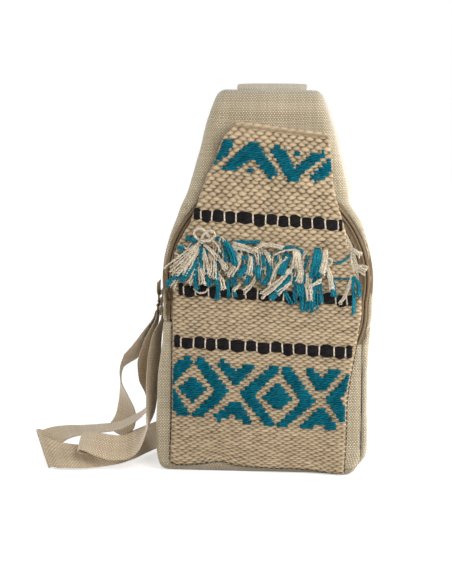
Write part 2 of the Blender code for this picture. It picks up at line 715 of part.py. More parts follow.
def make_bands():
    """Thick dark yarns laid across the panel, bound down at even ties."""
    for name, (left, right, count) in BANDS.items():
        base = panel_face(max(left[1], right[1])) + SEAM_GAP
        sections = []
        for i in range(2 * count + 1):
            share = i / (2 * count)
            x = left[0] + (right[0] - left[0]) * share
            middle = left[1] + (right[1] - left[1]) * share
            swell = 1.0 if i % 2 else BAND_PINCH
            section = []
            for up, out in ((-1, 0), (-0.9, 0.55), (-0.4, 1), (0.4, 1), (0.9, 0.55), (1, 0)):
                lift = base + out * swell * BAND_THICKNESS
                section.append((x, -lift, middle + up * swell * BAND_HALF_HEIGHT))
            sections.append(section)
        place(name, loft(sections), dark_yarn, front_plane, smooth=True)


def stroke(points, half_width):
    """Outline of a bent line of even width."""
    points = [Vector(point) for point in points]
    ways = [(b - a).normalized() for a, b in zip(points, points[1:])]
    left, right = [], []
    for i, point in enumerate(points):
        before, after = ways[max(i - 1, 0)], ways[min(i, len(ways) - 1)]
        way = (before + after).normalized()
        side = Vector((-way.y, way.x)) * half_width / way.dot(after)
        left.append(point + side)
        right.append(point - side)
    return left + right[::-1]


def make_motifs():
    """Teal zigzags and diamonds, a layer of yarn on the face of the panel."""
    outlines = {}
    for name, points in {**LOWER_ZIGZAGS, **UPPER_ZIGZAGS}.items():
        outlines[name] = stroke(points, YARN_HALF_WIDTH)
    for name, (x, z) in DIAMONDS.items():
        outlines[name] = (
            (x - DIAMOND_HALF_WIDTH, z), (x, z - DIAMOND_HALF_HEIGHT),
            (x + DIAMOND_HALF_WIDTH, z), (x, z + DIAMOND_HALF_HEIGHT),
        )
    for name, outline in outlines.items():
        base = panel_face(outline[0][1]) + SEAM_GAP
        place(name, prism(outline, base, base + YARN_THICKNESS), teal_yarn, front_plane)


def make_fringes():
    """Yarn ends that hang from a header, as a comb of tapered fingers."""
    left, right = Vector(FRINGE_LEFT), Vector(FRINGE_RIGHT)
    base = panel_face(FRINGE_LEFT[1]) + FRINGE_SEAT
    for name, (count, layer, share, finish) in FRINGES.items():
        low = base + layer * (FRINGE_THICKNESS + SEAM_GAP)
        outline = [left, right]
        for k in range(count - 1, -1, -1):
            length = FRINGE_LENGTH * share * (0.88 + 0.12 * math.sin(2.4 * k + layer))
            for at, drop in ((0.86, 0.0), (0.70, length), (0.30, length), (0.14, 0.0)):
                root = left.lerp(right, (k + at) / count)
                spread = root.x * FRINGE_SPREAD * drop / FRINGE_LENGTH
                outline.append(root + Vector((spread, -FRINGE_HEADER - drop)))
        place(name, prism(outline, low, low + FRINGE_THICKNESS), finish, front_plane)


# Shoulder strap: a wide base at the back, rings, and webbing


def smooth_route(route, width, steps=3):
    """Stations of a band through hand-placed (centre, width direction) pairs."""
    rows = [(*centre, *across) for centre, across in route]
    count = (len(rows) - 1) * steps
    made = [along(rows, i / count) for i in range(count + 1)]
    return [(Vector(row[:3]), Vector(row[3:]), width) for row in made]


def ribbon(name, stations, thickness, finish=webbing):
    """A flat band through (centre, width direction, width) stations.

    Where the width direction isn't square to the run, as in a slanting curl, the section is
    longer, so the band keeps its width.
    """
    sections = []
    last = len(stations) - 1
    for i, (centre, across, width) in enumerate(stations):
        ahead = (stations[min(i + 1, last)][0] - stations[max(i - 1, 0)][0]).normalized()
        slant = ahead.dot(across.normalized())
        across = across.normalized() * width / 2 / math.sqrt(1 - slant * slant)
        out = ahead.cross(across).normalized() * thickness / 2
        sections.append(
            (centre + across + out, centre + across - out,
             centre - across - out, centre - across + out)
        )
    return place(name, loft(sections, band=True), finish, smooth=True)


def hook(bar, radius, outward, over, across, width, tail):
    """Stations half round a bar, from its outward side over to the other, with a tail."""
    bar, outward, over, across = (Vector(item) for item in (bar, outward, over, across))
    stations = []
    for step in range(7):
        turn = math.radians(30 * step)
        centre = bar + radius * (outward * math.cos(turn) + over * math.sin(turn))
        stations.append((centre, across, width))
    stations.append((bar - outward * radius - over * tail, across, width))
    return stations


def wire_ring(name, centre, across):
    """A rectangular ring of round wire, upright, its long bars along one direction."""
    wide = RING_INSIDE / 2 + RING_WIRE / 2
    high = RING_OPENING / 2 + RING_WIRE / 2
    centre, across, up = Vector(centre), Vector(across), Vector((0, 0, 1))
    away = across.cross(up)
    sections = []
    for x, z, start in ((wide, high, 0), (-wide, high, 90), (-wide, -high, 180), (wide, -high, 270)):
        for step in range(4):
            turn = math.radians(start + 30 * step)
            way = across * math.cos(turn) + up * math.sin(turn)
            corner = across * (x - math.copysign(RING_CORNER, x))
            corner += up * (z - math.copysign(RING_CORNER, z))
            point = centre + corner + way * RING_CORNER
            section = []
            for k in range(8):
                turn = math.radians(45 * k)
                out = way * math.cos(turn) + away * math.sin(turn)
                section.append(point + out * RING_WIRE / 2)
            sections.append(section)
    return place(name, loft(sections, closed=True), bronze, smooth=True)


def make_strap():
    bar_up = RING_OPENING / 2 + RING_WIRE / 2
    layer = RING_WIRE / 2 + SEAM_GAP + WEBBING_THICKNESS / 2
    out, over, along_y = (-1, 0, 0), (0, 0, 1), (0, 1, 0)

    # Side tab, ring, link and adjuster
    side_x, side_y, side_z = SIDE_RING
    wire_ring("side_ring", SIDE_RING, along_y)
    top_bar = (side_x, side_y, side_z + bar_up)
    tab = [
        (Vector((TAB_X, side_y, TAB_HEIGHT)), Vector(along_y), WEBBING_WIDTH),
        (Vector((TAB_X, side_y, TAB_HEIGHT - 0.008)), Vector(along_y), WEBBING_WIDTH),
        *hook(top_bar, layer, (1, 0, 0), (0, 0, -1), along_y, WEBBING_WIDTH, TAB_RETURN),
    ]
    ribbon("side_tab", tab, WEBBING_THICKNESS)
    wire_ring("side_adjuster", SIDE_ADJUSTER, along_y)
    low_bar = Vector((side_x, side_y, side_z - bar_up))
    next_bar = Vector(SIDE_ADJUSTER) + Vector((0, 0, bar_up))
    link = hook(low_bar, layer, out, over, along_y, WEBBING_WIDTH, 0)[:-1]
    link += hook(next_bar, layer, (1, 0, 0), (0, 0, -1), along_y, WEBBING_WIDTH, 0)[:-1]
    ribbon("side_link", link, WEBBING_THICKNESS)

    # Webbing over the adjuster's lower bar: the long strap's end, and round it the two tails
    bar = Vector(SIDE_ADJUSTER) - Vector((0, 0, bar_up))
    outer = layer + WEBBING_THICKNESS + SEAM_GAP
    short_end = hook(bar, layer, out, over, along_y, WEBBING_WIDTH, HOOK_TAIL)[::-1]
    tails = smooth_route(FRONT_TAIL_ROUTE, WEBBING_WIDTH)
    tails += hook(bar, outer, out, over, along_y, WEBBING_WIDTH, 0)[-2::-1]
    tails += smooth_route(BACK_TAIL_ROUTE, WEBBING_WIDTH)
    ribbon("strap_tails", tails, WEBBING_THICKNESS)
    wire_ring("base_ring", BASE_RING, (1, 0, 0))
    base_bar = Vector(BASE_RING) - Vector((0, 0, bar_up))
    end = hook(base_bar, layer, (0, 1, 0), over, (-1, 0, 0), WEBBING_WIDTH, HOOK_TAIL)
    long_strap = short_end + smooth_route(LONG_ROUTE, WEBBING_WIDTH) + end
    ribbon("strap_long", long_strap, WEBBING_THICKNESS)

    # Wide base, sewn to the top of the back and folded round its ring
    held = Vector(BASE_RING) + Vector((0, 0, bar_up))
    fold = RING_WIRE / 2 + SEAM_GAP + STRAP_BASE_THICKNESS / 2
    base = []
    for y, z, width in STRAP_BASE_ROUTE:
        base.append((Vector((0, y, z)), Vector((1, 0, 0)), width))
    base += hook(held, fold, (0, -1, 0), (0, 0, -1), (1, 0, 0), STRAP_BASE_END, BASE_RETURN)
    ribbon("strap_base", base, STRAP_BASE_THICKNESS, canvas)


make_body()
make_zip()
make_panel()
make_bands()
make_motifs()
make_fringes()
make_strap()
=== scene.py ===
"""A canvas sling backpack with a handwoven front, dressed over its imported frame."""
import math
import random

import bmesh
import bpy
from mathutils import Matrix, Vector, noise


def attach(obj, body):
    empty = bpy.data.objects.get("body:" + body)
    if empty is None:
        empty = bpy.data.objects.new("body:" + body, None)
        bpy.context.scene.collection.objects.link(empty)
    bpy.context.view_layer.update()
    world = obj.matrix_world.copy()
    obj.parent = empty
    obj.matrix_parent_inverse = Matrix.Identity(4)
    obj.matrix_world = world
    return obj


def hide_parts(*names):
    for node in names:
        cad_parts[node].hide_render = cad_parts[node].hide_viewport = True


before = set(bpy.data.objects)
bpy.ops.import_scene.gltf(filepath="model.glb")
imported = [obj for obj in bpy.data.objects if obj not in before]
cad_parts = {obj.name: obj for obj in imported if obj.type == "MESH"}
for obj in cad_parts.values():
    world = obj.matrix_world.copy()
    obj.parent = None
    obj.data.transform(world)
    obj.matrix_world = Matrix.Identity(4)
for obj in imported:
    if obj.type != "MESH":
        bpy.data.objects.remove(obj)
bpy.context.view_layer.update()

# The view: level with the bag's middle, a little from its left and from above, through a long
# lens. The image is 452 x 584, so the sensor's 36 mm stand for its longer side.
view = bpy.data.cameras.new("photo_view")
view.sensor_width, view.lens, view_distance = 36.0, 134.0, 2.0
camera = bpy.data.objects.new("photo_view", view)
bpy.context.scene.collection.objects.link(camera)
aim = Vector((-0.0375, -0.030, 0.167))
azimuth, elevation = math.radians(6.0), math.radians(8.0)
towards_eye = Vector((math.sin(azimuth) * math.cos(elevation),
                      -math.cos(azimuth) * math.cos(elevation), math.sin(elevation)))
camera.location = aim + towards_eye * view_distance
camera.rotation_euler = (-towards_eye).to_track_quat("-Z", "Y").to_euler()
bpy.context.scene.camera = camera


# The studio: a pale floor that keeps the shadow, four soft lamps and an even pale room. What the
# camera and shiny metal see of the room is white.
def feed(tree, socket, value):
    """Sets a socket to a number or colour, or links another node's output to it."""
    if isinstance(value, bpy.types.NodeSocket):
        tree.links.new(value, socket)
    elif socket.type == "RGBA":
        socket.default_value = (*value, 1.0)
    else:
        socket.default_value = value


def add_node(tree, kind, inputs=(), **settings):
    """Adds a shader node; inputs gives values or links by a socket's name or number."""
    node = tree.nodes.new("ShaderNode" + kind)
    for setting, value in settings.items():
        setattr(node, setting, value)
    for key, value in dict(inputs).items():
        feed(tree, node.inputs[key], value)
    return node


def maths(tree, operation, *values):
    """Adds a Math node; its values are numbers or other nodes' outputs."""
    return add_node(tree, "Math", enumerate(values), operation=operation).outputs[0]


def new_material(name, finish):
    """A material, its tree and its shader's inputs, of which finish sets some by name."""
    material = bpy.data.materials.new(name)
    material.use_nodes = True
    inputs = material.node_tree.nodes["Principled BSDF"].inputs
    for key, value in finish.items():
        feed(material.node_tree, inputs[key], value)
    return material, material.node_tree, inputs


bpy.context.scene.view_settings.view_transform = "Standard"
room = bpy.data.worlds.new("pale_room")
bpy.context.scene.world = room
room.use_nodes = True
tree = room.node_tree
rays = add_node(tree, "LightPath").outputs
seen = maths(tree, "MAXIMUM", rays["Is Camera Ray"], rays["Is Glossy Ray"])
seen = maths(tree, "MAXIMUM", seen, rays["Is Transmission Ray"])
strength = add_node(tree, "MapRange", {"Value": seen, "To Min": 0.34, "To Max": 1.0})
background = tree.nodes["Background"].inputs
feed(tree, background["Color"], (1.0, 1.0, 1.0))
feed(tree, background["Strength"], strength.outputs["Result"])

floor_mesh = bmesh.new()
bmesh.ops.create_grid(floor_mesh, x_segments=1, y_segments=1, size=3.0)
floor_data = bpy.data.meshes.new("floor")
floor_mesh.to_mesh(floor_data)
floor_mesh.free()
floor = bpy.data.objects.new("floor", floor_data)
bpy.context.scene.collection.objects.link(floor)
pale, tree, finish = new_material("pale_floor", {
    "Base Color": (0.90, 0.90, 0.90), "Roughness": 0.9, "Specular IOR Level": 0.1,
    "Emission Color": (1.0, 1.0, 1.0)})
rays = add_node(tree, "LightPath").outputs
seen = maths(tree, "MAXIMUM", rays["Is Camera Ray"], rays["Is Glossy Ray"])
ground = add_node(tree, "TexCoord").outputs["Object"]
away = add_node(tree, "VectorMath", {0: ground}, operation="LENGTH").outputs["Value"]
whiter = add_node(tree, "MapRange", {"Value": away, "From Min": 0.16, "From Max": 0.75,
                                     "To Min": 0.50, "To Max": 0.74},
                  interpolation_type="SMOOTHSTEP").outputs["Result"]
feed(tree, finish["Emission Strength"], maths(tree, "MULTIPLY", seen, whiter))
floor_data.materials.append(pale)

bag_middle = Vector((0, 0, 0.18))


def soft_lamp(name, place, size, power):
    """A square lamp aimed at the middle of the bag."""
    light = bpy.data.lights.new(name, "AREA")
    light.shape, light.size, light.energy = "SQUARE", size, power
    lamp = bpy.data.objects.new(name, light)
    lamp.location = place
    lamp.rotation_euler = (Vector(place) - bag_middle).to_track_quat("Z", "Y").to_euler()
    bpy.context.scene.collection.objects.link(lamp)


soft_lamp("key_lamp", (0.20, -0.42, 0.45), 0.30, 1.42)
soft_lamp("fill_lamp", (-1.3, -1.1, 0.40), 1.0, 3.0)
soft_lamp("right_lamp", (1.05, -0.20, 0.22), 0.7, 12.5)
soft_lamp("left_lamp", (-0.95, 0.05, 0.55), 0.6, 3.2)

# Canvas body. Four pieces of undyed, coarse plain-woven cotton canvas: the back, an upper shell
# that is yoke and side gussets in one, a lower gusset with the base, and the front behind the
# handwoven panel. They are sewn right sides together, so each seam sinks into a groove.
body_height, body_depth, canvas_wall = 0.358, 0.076, 0.0013
front_lean = math.radians(4.5)
half_widths = (
    (0.000, 0.0920), (0.015, 0.0965), (0.033, 0.0970), (0.072, 0.0955), (0.116, 0.0950),
    (0.143, 0.0963), (0.171, 0.0972), (0.185, 0.0972), (0.199, 0.0958), (0.215, 0.0918),
    (0.226, 0.0880), (0.237, 0.0828), (0.248, 0.0780), (0.270, 0.0715), (0.293, 0.0660),
    (0.315, 0.0615), (0.342, 0.0535), (0.358, 0.0475),
)
arch_radius, arch_centre = 0.0915, 0.1785
seam_gap, outer_lip, inner_lip = 0.0003, 0.0039, 0.0070
arch_below = math.radians(12.0)


def curve_value(points, at):
    """A smooth curve through (position, value) points, read at one position."""
    last = len(points) - 1
    i = 0
    while i < last - 1 and at > points[i + 1][0]:
        i += 1
    (x0, y0), (x1, y1) = points[i], points[i + 1]

    def slope(k):
        before, after = points[max(k - 1, 0)], points[min(k + 1, last)]
        return (after[1] - before[1]) / (after[0] - before[0])

    run = x1 - x0
    t = min(max((at - x0) / run, 0.0), 1.0)
    return (
        (2 * t**3 - 3 * t**2 + 1) * y0
        + (t**3 - 2 * t**2 + t) * run * slope(i)
        + (3 * t**2 - 2 * t**3) * y1
        + (t**3 - t**2) * run * slope(i + 1)
    )


def ease(value, start, end):
    """Rises smoothly from 0 at start to 1 at end."""
    t = min(max((value - start) / (end - start), 0.0), 1.0)
    return t * t * (3 - 2 * t)


def back_face(height):
    """The back stands straight and rounds forward a little towards the top."""
    return body_depth / 2 - 0.35 * max(height - 0.240, 0) ** 2


def distances(line):
    """How far along a line each of its points lies."""
    reach = [0.0]
    for near, far in zip(line, line[1:]):
        reach.append(reach[-1] + (far - near).length)
    return reach


def body_ring(height, inset):
    """Corners round the body at one height, each with its distance along the cloth."""
    over_front, bend, down_side, over_back = 84, 6, 22, 80
    half = curve_value(half_widths, height) - inset
    front = -body_depth / 2 + height * math.tan(front_lean)
    front += 5.6 * max(height - 0.295, 0) ** 2 + inset
    back = back_face(height) - inset
    most = (back - front) * 0.48
    front_radius = min(0.004 + 0.006 * ease(height, 0.215, 0.290), most)
    back_radius = min(0.014, most)
    corners = (
        (-1, front, front_radius, 180, over_front), (1, front, front_radius, 270, down_side),
        (1, back, back_radius, 0, over_back), (-1, back, back_radius, 90, down_side),
    )

    def on_corner(corner, part):
        side, y, radius, start, _ = corner
        centre = Vector((side * (half - radius), y + radius if y == front else y - radius, height))
        turn = math.radians(start + 90 * part)
        return centre + radius * Vector((math.cos(turn), math.sin(turn), 0))

    ring = []
    for i, corner in enumerate(corners):
        ring += [on_corner(corner, step / bend) for step in range(bend + 1)]
        leave, onward, straight = ring[-1], on_corner(corners[(i + 1) % 4], 0), corner[-1]
        ring += [leave.lerp(onward, k / straight) for k in range(1, straight)]
    # The grid's open edge runs down the middle of the back
    shift = 2 * (bend + 1) + (over_front - 1) + (down_side - 1) + over_back // 2 - 1
    ring = ring[shift:] + ring[:shift]
    ring.append(ring[0])
    lengths = distances(ring)
    return [(point, along - lengths[-1] / 2) for point, along in zip(ring, lengths)]


def cloth_grid(columns, rows, lay, marks=()):
    """A sheet of squares; lay(column, row) gives a corner's place, its place on the cloth and
    the values of the marks that it carries."""
    bm = bmesh.new()
    bmesh.ops.create_grid(bm, x_segments=columns, y_segments=rows, size=0.5)
    cloth = bm.loops.layers.uv.new("cloth")
    layers = [bm.verts.layers.float.new(mark) for mark in marks]
    for vert in bm.verts:
        column, row = round((vert.co.x + 0.5) * columns), round((vert.co.y + 0.5) * rows)
        vert.co, flat, *values = lay(column, row)
        for layer, value in zip(layers, values):
            vert[layer] = value
        for loop in vert.link_loops:
            loop[cloth].uv = flat
    return bm


def cut_cloth(bm, kept):
    """Cuts the cloth along the line where kept(point) is 0 and drops the side below it."""
    cloth = bm.loops.layers.uv["cloth"]
    value = {vert: kept(vert.co) for vert in bm.verts}
    for edge in bm.edges:
        near, far = sorted(edge.verts, key=lambda vert: abs(value[vert]))
        if value[near] * value[far] >= 0:
            continue
        share = value[near] / (value[near] - value[far])
        loop = edge.link_loops[0]
        other = loop.link_loop_next
        start, end = (loop, other) if loop.vert is near else (other, loop)
        step = (end[cloth].uv - start[cloth].uv) * share
        for loop in near.link_loops:
            loop[cloth].uv += step
        near.co = near.co.lerp(far.co, share)
        value[near] = 0.0
    waste = [face for face in bm.faces if min(value[vert] for vert in face.verts) < -1e-9]
    bmesh.ops.delete(bm, geom=waste, context="FACES")


def finish_piece(name, bm, material, replaced=(), body="backpack"):
    """Makes the object of one piece, gives it its finish and lets it ride on its body."""
    data = bpy.data.meshes.new(name)
    bm.to_mesh(data)
    bm.free()
    for polygon in data.polygons:
        polygon.use_smooth = True
    data.materials.append(material)
    piece = bpy.data.objects.new(name, data)
    bpy.context.scene.collection.objects.link(piece)
    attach(piece, body)
    if replaced:
        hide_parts(*replaced)
    return piece


def front_place(point):
    """Across, lift off and height up the leaning front, for a point of the body."""
    y = point.y + body_depth / 2
    return (point.x, point.z * math.sin(front_lean) - y * math.cos(front_lean),
            y * math.sin(front_lean) + point.z * math.cos(front_lean))


def from_front(x, lift, v):
    """The reverse: a point at a place on the leaning front."""
    return Vector((x, -body_depth / 2 - lift * math.cos(front_lean) + v * math.sin(front_lean),
                   lift * math.sin(front_lean) + v * math.cos(front_lean)))


def seam_at(x):
    """Height of the seam over the lower gusset; over the zip's right end it falls inwards."""
    return 0.1388 - 0.0180 * (1 - ease(x, 0.0868, 0.0972)) * ease(x, 0.0, 0.080)


def turn_in(x, v):
    """How far the zip's right end turns in towards the panel."""
    return 0.0054 * (max(0.1440 - v, 0.0) / 0.0230) ** 1.5 * ease(x, 0.0, 0.060)


def lean(z):
    """How far the soft lower half leans to the strap's side."""
    return 0.0040 * (1 - ease(z, 0.050, 0.163))


def spot(x, v, middle, reach, power=2):
    """1 at the middle of a soft spot, falling to 0 past its reach across and up."""
    return math.exp(-((x - middle[0]) / reach[0]) ** power - ((v - middle[1]) / reach[1]) ** 2)


def foot_forward(x, z):
    """How far the right front corner of the base is pulled forward."""
    return 0.0070 * spot(x, z, (0.078, 0.0), (0.024, 0.022))


def beyond_arch(x, v, offset):
    """How far outside the zip's line, moved out by an offset, a place on the front lies."""
    x += turn_in(x, v)
    straight = arch_radius * math.cos(arch_below) + offset
    if v > arch_centre - arch_radius * math.sin(arch_below):
        return math.hypot(x, v - arch_centre) - arch_radius - offset
    return abs(x) - straight


def beyond_foot(x, v, half, foot, corner):
    """How far outside the front panel's lower part, with rounded bottom corners, a place lies."""
    dx, dv = abs(x) - (half - corner), (foot + corner) - v
    if dx > 0 and dv > 0:
        return math.hypot(dx, dv) - corner
    return max(abs(x) - half, foot - v)


def behind_front(point):
    """Positive behind the front face, so that a cut there leaves sides and back alone."""
    return -front_place(point)[1] - 0.016


def before_back(point):
    """Positive before the seam round the back panel."""
    return back_face(point.z) - 0.0051 - point.y


# Each of these is positive where its piece keeps the cloth, and 0 along its cut edge
def keep_back(point):
    return point.y - (back_face(point.z) - 0.0048)


def keep_upper(point):
    x, _, v = front_place(point)
    ring = beyond_arch(x, v, outer_lip)
    return min(v - seam_at(x), max(ring, behind_front(point)), before_back(point))


def keep_gusset(point):
    x, _, v = front_place(point)
    front = beyond_foot(x, v, 0.0880, 0.005, 0.012)
    return min(seam_at(x) - seam_gap - v, max(front, behind_front(point)), before_back(point))


def keep_front(point):
    x, _, v = front_place(point)
    foot = min(-beyond_foot(x, v, 0.0877, 0.0053, 0.012), seam_at(x) - seam_gap - v)
    return min(max(foot, -beyond_arch(x, v, -inner_lip)), -behind_front(point))


def crumple(point):
    """How far soft canvas stands in or out: broad slack, small dents and a few given folds."""
    x, lift, v = front_place(point)
    front = ease(lift, -0.016, -0.004)
    out = 0.0011 * noise.noise(point * 21.0)
    out += 0.0006 * noise.noise(point * 55.0 + Vector((3.1, 0, 0)))
    # The yoke bulges beside the top of the zip on the bag's left, over a hollow above it
    out += 0.0012 * spot(x, v, (0.083, 0.232), (0.010, 0.009))
    out -= 0.0026 * spot(x, v, (0.079, 0.250), (0.012, 0.010))
    # The top of the front is round, and hollow just above the woven tongue and at its corner
    out -= 0.0070 * front * spot(x, v, (0.0, 0.331), (0.042, 0.010), 4)
    out -= 0.0035 * front * spot(x, v, (-0.042, 0.310), (0.011, 0.020))
    out += 0.0014 * front * spot(x, v, (0.0, 0.351), (0.045, 0.007), 4)
    # The yoke bulges on the strap's side too
    out += 0.0016 * spot(x, v, (-0.080, 0.246), (0.010, 0.012))
    # The lower sides belly out between the seam and the base
    out += 0.0012 * math.exp(-((v - 0.075) / 0.045) ** 2)
    # The right strip beside the panel has a long soft crease and a dent at its top
    if x > 0:
        out -= 0.0013 * math.exp(-((x - 0.0905 + 0.02 * (v - 0.07)) / 0.0022) ** 2
                                 - ((v - 0.060) / 0.042) ** 4)
        out -= 0.0016 * spot(x, v, (0.090, 0.094), (0.005, 0.006))
    # Behind the handwoven panel it lies flat
    if lift > -0.004:
        out -= 0.0018 * (1 - ease(abs(x + 0.006), 0.070, 0.080)) * (1 - ease(v, 0.175, 0.205))
    # Along the zip's upper line the edge is sewn flat
    if lift > -0.004 and v > 0.150:
        out -= max(out, 0.0) * math.exp(-(beyond_arch(x, v, 0.003) / 0.006) ** 2)
    return out * ease(point.z, 0.0, 0.020)


def settle(point):
    """How the soft bag stands: its top sunk, its lower half leaning, one back corner slack."""
    x, y, z = point
    right, rear = min(max(x / 0.07, 0.0), 1.0), ease(y, -0.030, 0.035)
    slack = 0.0036 * (1 - ease(z, 0.215, 0.262)) + 0.0046 * math.exp(-((z - 0.232) / 0.013) ** 2)
    x -= lean(z) + 0.0014 * ease(z, 0.300, 0.350) + slack * rear * right
    # The right bottom corner is drawn in, and the lower left side sags out
    x -= 0.0080 * (1 - ease(z, 0.0, 0.022)) * right
    left = min(max(-x / 0.07, 0.0), 1.0)
    sag = 0.0014 * (1 - ease(z, 0.040, 0.110)) + 0.0019 * math.exp(-((z - 0.088) / 0.030) ** 2)
    x -= sag * left
    y -= foot_forward(x, z) * ease(-y, 0.0, 0.03)
    return Vector((x, y, z - 0.0078 * ease(z, 0.262, 0.352)))


# Rings from the middle of the base, round its edge, up the body and over the round top edge
edge_round, quarter = 0.006, [math.radians(90 * k / 5) for k in range(6)]
base_insets, top_insets, body_rows = (0.0375, 0.030, 0.022, 0.014), (0.0075, 0.0090), 146
ring_rows = [(0.0, inset) for inset in base_insets]
ring_rows += [(edge_round * (1 - math.cos(a)), edge_round * (1 - math.sin(a))) for a in quarter]
ring_rows += [(edge_round + (0.352 - edge_round) * k / body_rows, 0.0)
              for k in range(1, body_rows)]
ring_rows += [(body_height - edge_round * (1 - math.sin(a)), edge_round * (1 - math.cos(a)))
              for a in quarter]
ring_rows += [(body_height, inset) for inset in top_insets]
rings = [body_ring(height, inset) for height, inset in ring_rows]


def lay_body(column, row):
    """A corner of the body's skin and its place on the cloth."""
    point, along = rings[row][column]
    # On the base the cloth's rows go on below 0
    return point, (along, ring_rows[row][0] + min(row - 9, 0) * 0.004)


skin = cloth_grid(len(rings[0]) - 1, len(rings) - 1, lay_body)
bmesh.ops.remove_doubles(skin, verts=skin.verts, dist=0.00001)
bmesh.ops.recalc_face_normals(skin, faces=skin.faces)
skin.normal_update()
for vert in skin.verts:
    vert.co = settle(vert.co + vert.normal * crumple(vert.co))
    vert.co.z = max(vert.co.z, 0.0)
bmesh.ops.triangulate(skin, faces=skin.faces)


def effect(name, inputs, outputs):
    """A shader group with named inputs (name, kind, value) and outputs (name, kind)."""
    tree = bpy.data.node_groups.new(name, "ShaderNodeTree")
    for label, kind, value in inputs:
        socket = tree.interface.new_socket(label, in_out="INPUT", socket_type=kind)
        if value is not None:
            socket.default_value = value
    for label, kind in outputs:
        tree.interface.new_socket(label, in_out="OUTPUT", socket_type=kind)
    given, result = tree.nodes.new("NodeGroupInput"), tree.nodes.new("NodeGroupOutput")
    return tree, given.outputs, result.inputs


def blend_colours(tree, share, first, second, mode="MIX"):
    """Mixes two colours; each may be a colour or another node's output."""
    return add_node(tree, "Mix", {0: share, 6: first, 7: second}, data_type="RGBA",
                    blend_type=mode).outputs[2]


def emboss(tree, finish, height, strength, relief):
    """Lets a height stand out of the surface by a relief in metres."""
    bump = add_node(tree, "Bump", {"Height": height, "Strength": strength, "Distance": relief})
    feed(tree, finish["Normal"], bump.outputs["Normal"])


# Plain weave: places come in thread widths. Threads cross over and under by turns
weave, given, result = effect(
    "plain_weave",
    (("Place", "NodeSocketVector", None), ("Slub", "NodeSocketFloat", 0.25)),
    (("Height", "NodeSocketFloat"), ("Tone", "NodeSocketFloat"), ("Over", "NodeSocketFloat")),
)
wander = add_node(weave, "TexNoise", {"Vector": given["Place"], "Scale": 0.21, "Detail": 2.0})
wandered = add_node(weave, "VectorMath", {0: wander.outputs["Color"], 1: given["Slub"],
                                          2: given["Place"]}, operation="MULTIPLY_ADD")
thread = add_node(weave, "SeparateXYZ", {0: wandered.outputs[0]}).outputs
waves = [maths(weave, "SINE", maths(weave, "MULTIPLY", thread[axis], math.pi)) for axis in "XY"]
over = maths(weave, "GREATER_THAN", maths(weave, "MULTIPLY", *waves), 0.0)
under = maths(weave, "SUBTRACT", 1.0, over)


def by_turns(lengthwise, crosswise):
    """The value of the thread that lies on top."""
    return maths(weave, "ADD", maths(weave, "MULTIPLY", lengthwise, over),
                 maths(weave, "MULTIPLY", crosswise, under))


crest_u, crest_v = (maths(weave, "ABSOLUTE", wave) for wave in waves)
lengthwise = maths(weave, "MULTIPLY", maths(weave, "POWER", crest_u, 0.55), crest_v)
crosswise = maths(weave, "MULTIPLY", crest_u, maths(weave, "POWER", crest_v, 0.55))
crosswise = maths(weave, "MULTIPLY", crosswise, 0.72)
tones = [add_node(weave, "TexWhiteNoise", {"W": maths(weave, "FLOOR", thread[axis])},
                  noise_dimensions="1D").outputs["Value"] for axis in "XY"]
feed(weave, result["Height"], by_turns(lengthwise, crosswise))
feed(weave, result["Tone"], by_turns(*tones))
feed(weave, result["Over"], over)


def cloth_material(name, threads, dark, light, relief, patches=0.12, rough=0.88, under=0.55,
                   rim_highlight=0.35):
    """Plain-woven cloth of threads this wide and high, from a dark gap to a light crest; the dark of the
    gaps is painted shade, and a painted highlight pales the colour where the cloth turns away.
    """
    material, tree, finish = new_material(name, {
        "Roughness": rough, "Specular IOR Level": 0.06, "Sheen Weight": 0.12,
        "Sheen Roughness": 0.6})
    flat = add_node(tree, "UVMap", uv_map="cloth").outputs["UV"]
    counted = add_node(tree, "Mapping", {
        "Vector": flat, "Scale": (1 / threads[0], 1 / threads[1], 1.0)}).outputs["Vector"]
    woven = add_node(tree, "Group", {"Place": counted, "Slub": 0.9}, node_tree=weave).outputs
    # Painted shade: the colour darkens with the weave's height, into the gaps and on the threads that
    # lie under; the cloudy patches are the cloth's own uneven tone
    lift = maths(tree, "MULTIPLY", maths(tree, "POWER", woven["Height"], 0.8),
                 maths(tree, "MULTIPLY_ADD", woven["Over"], 1 - under, under))
    lift = maths(tree, "MULTIPLY_ADD", woven["Tone"], 0.18, maths(tree, "MULTIPLY", lift, 0.86))
    place = add_node(tree, "TexCoord").outputs["Object"]
    cloud = add_node(tree, "TexNoise", {"Vector": place, "Scale": 26.0, "Detail": 4.0})
    shade = maths(tree, "MULTIPLY_ADD", cloud.outputs["Fac"], 2 * patches, 1.0 - patches)
    grey = add_node(tree, "CombineColor", {0: shade, 1: shade, 2: shade}).outputs[0]
    colour = blend_colours(tree, 1.0, blend_colours(tree, lift, dark, light), grey, "MULTIPLY")
    # Painted rim highlight: the colour turns paler where the cloth turns away from the view, standing in
    # for light caught by loose fibres
    edge = add_node(tree, "LayerWeight", {"Blend": 0.35}).outputs["Facing"]
    painted_rim_highlight = maths(tree, "MULTIPLY", maths(tree, "POWER", edge, 1.6), rim_highlight)
    feed(tree, finish["Base Color"], blend_colours(tree, painted_rim_highlight, colour, (0.96, 0.90, 0.78)))
    emboss(tree, finish, woven["Height"], 0.9, relief)
    return material


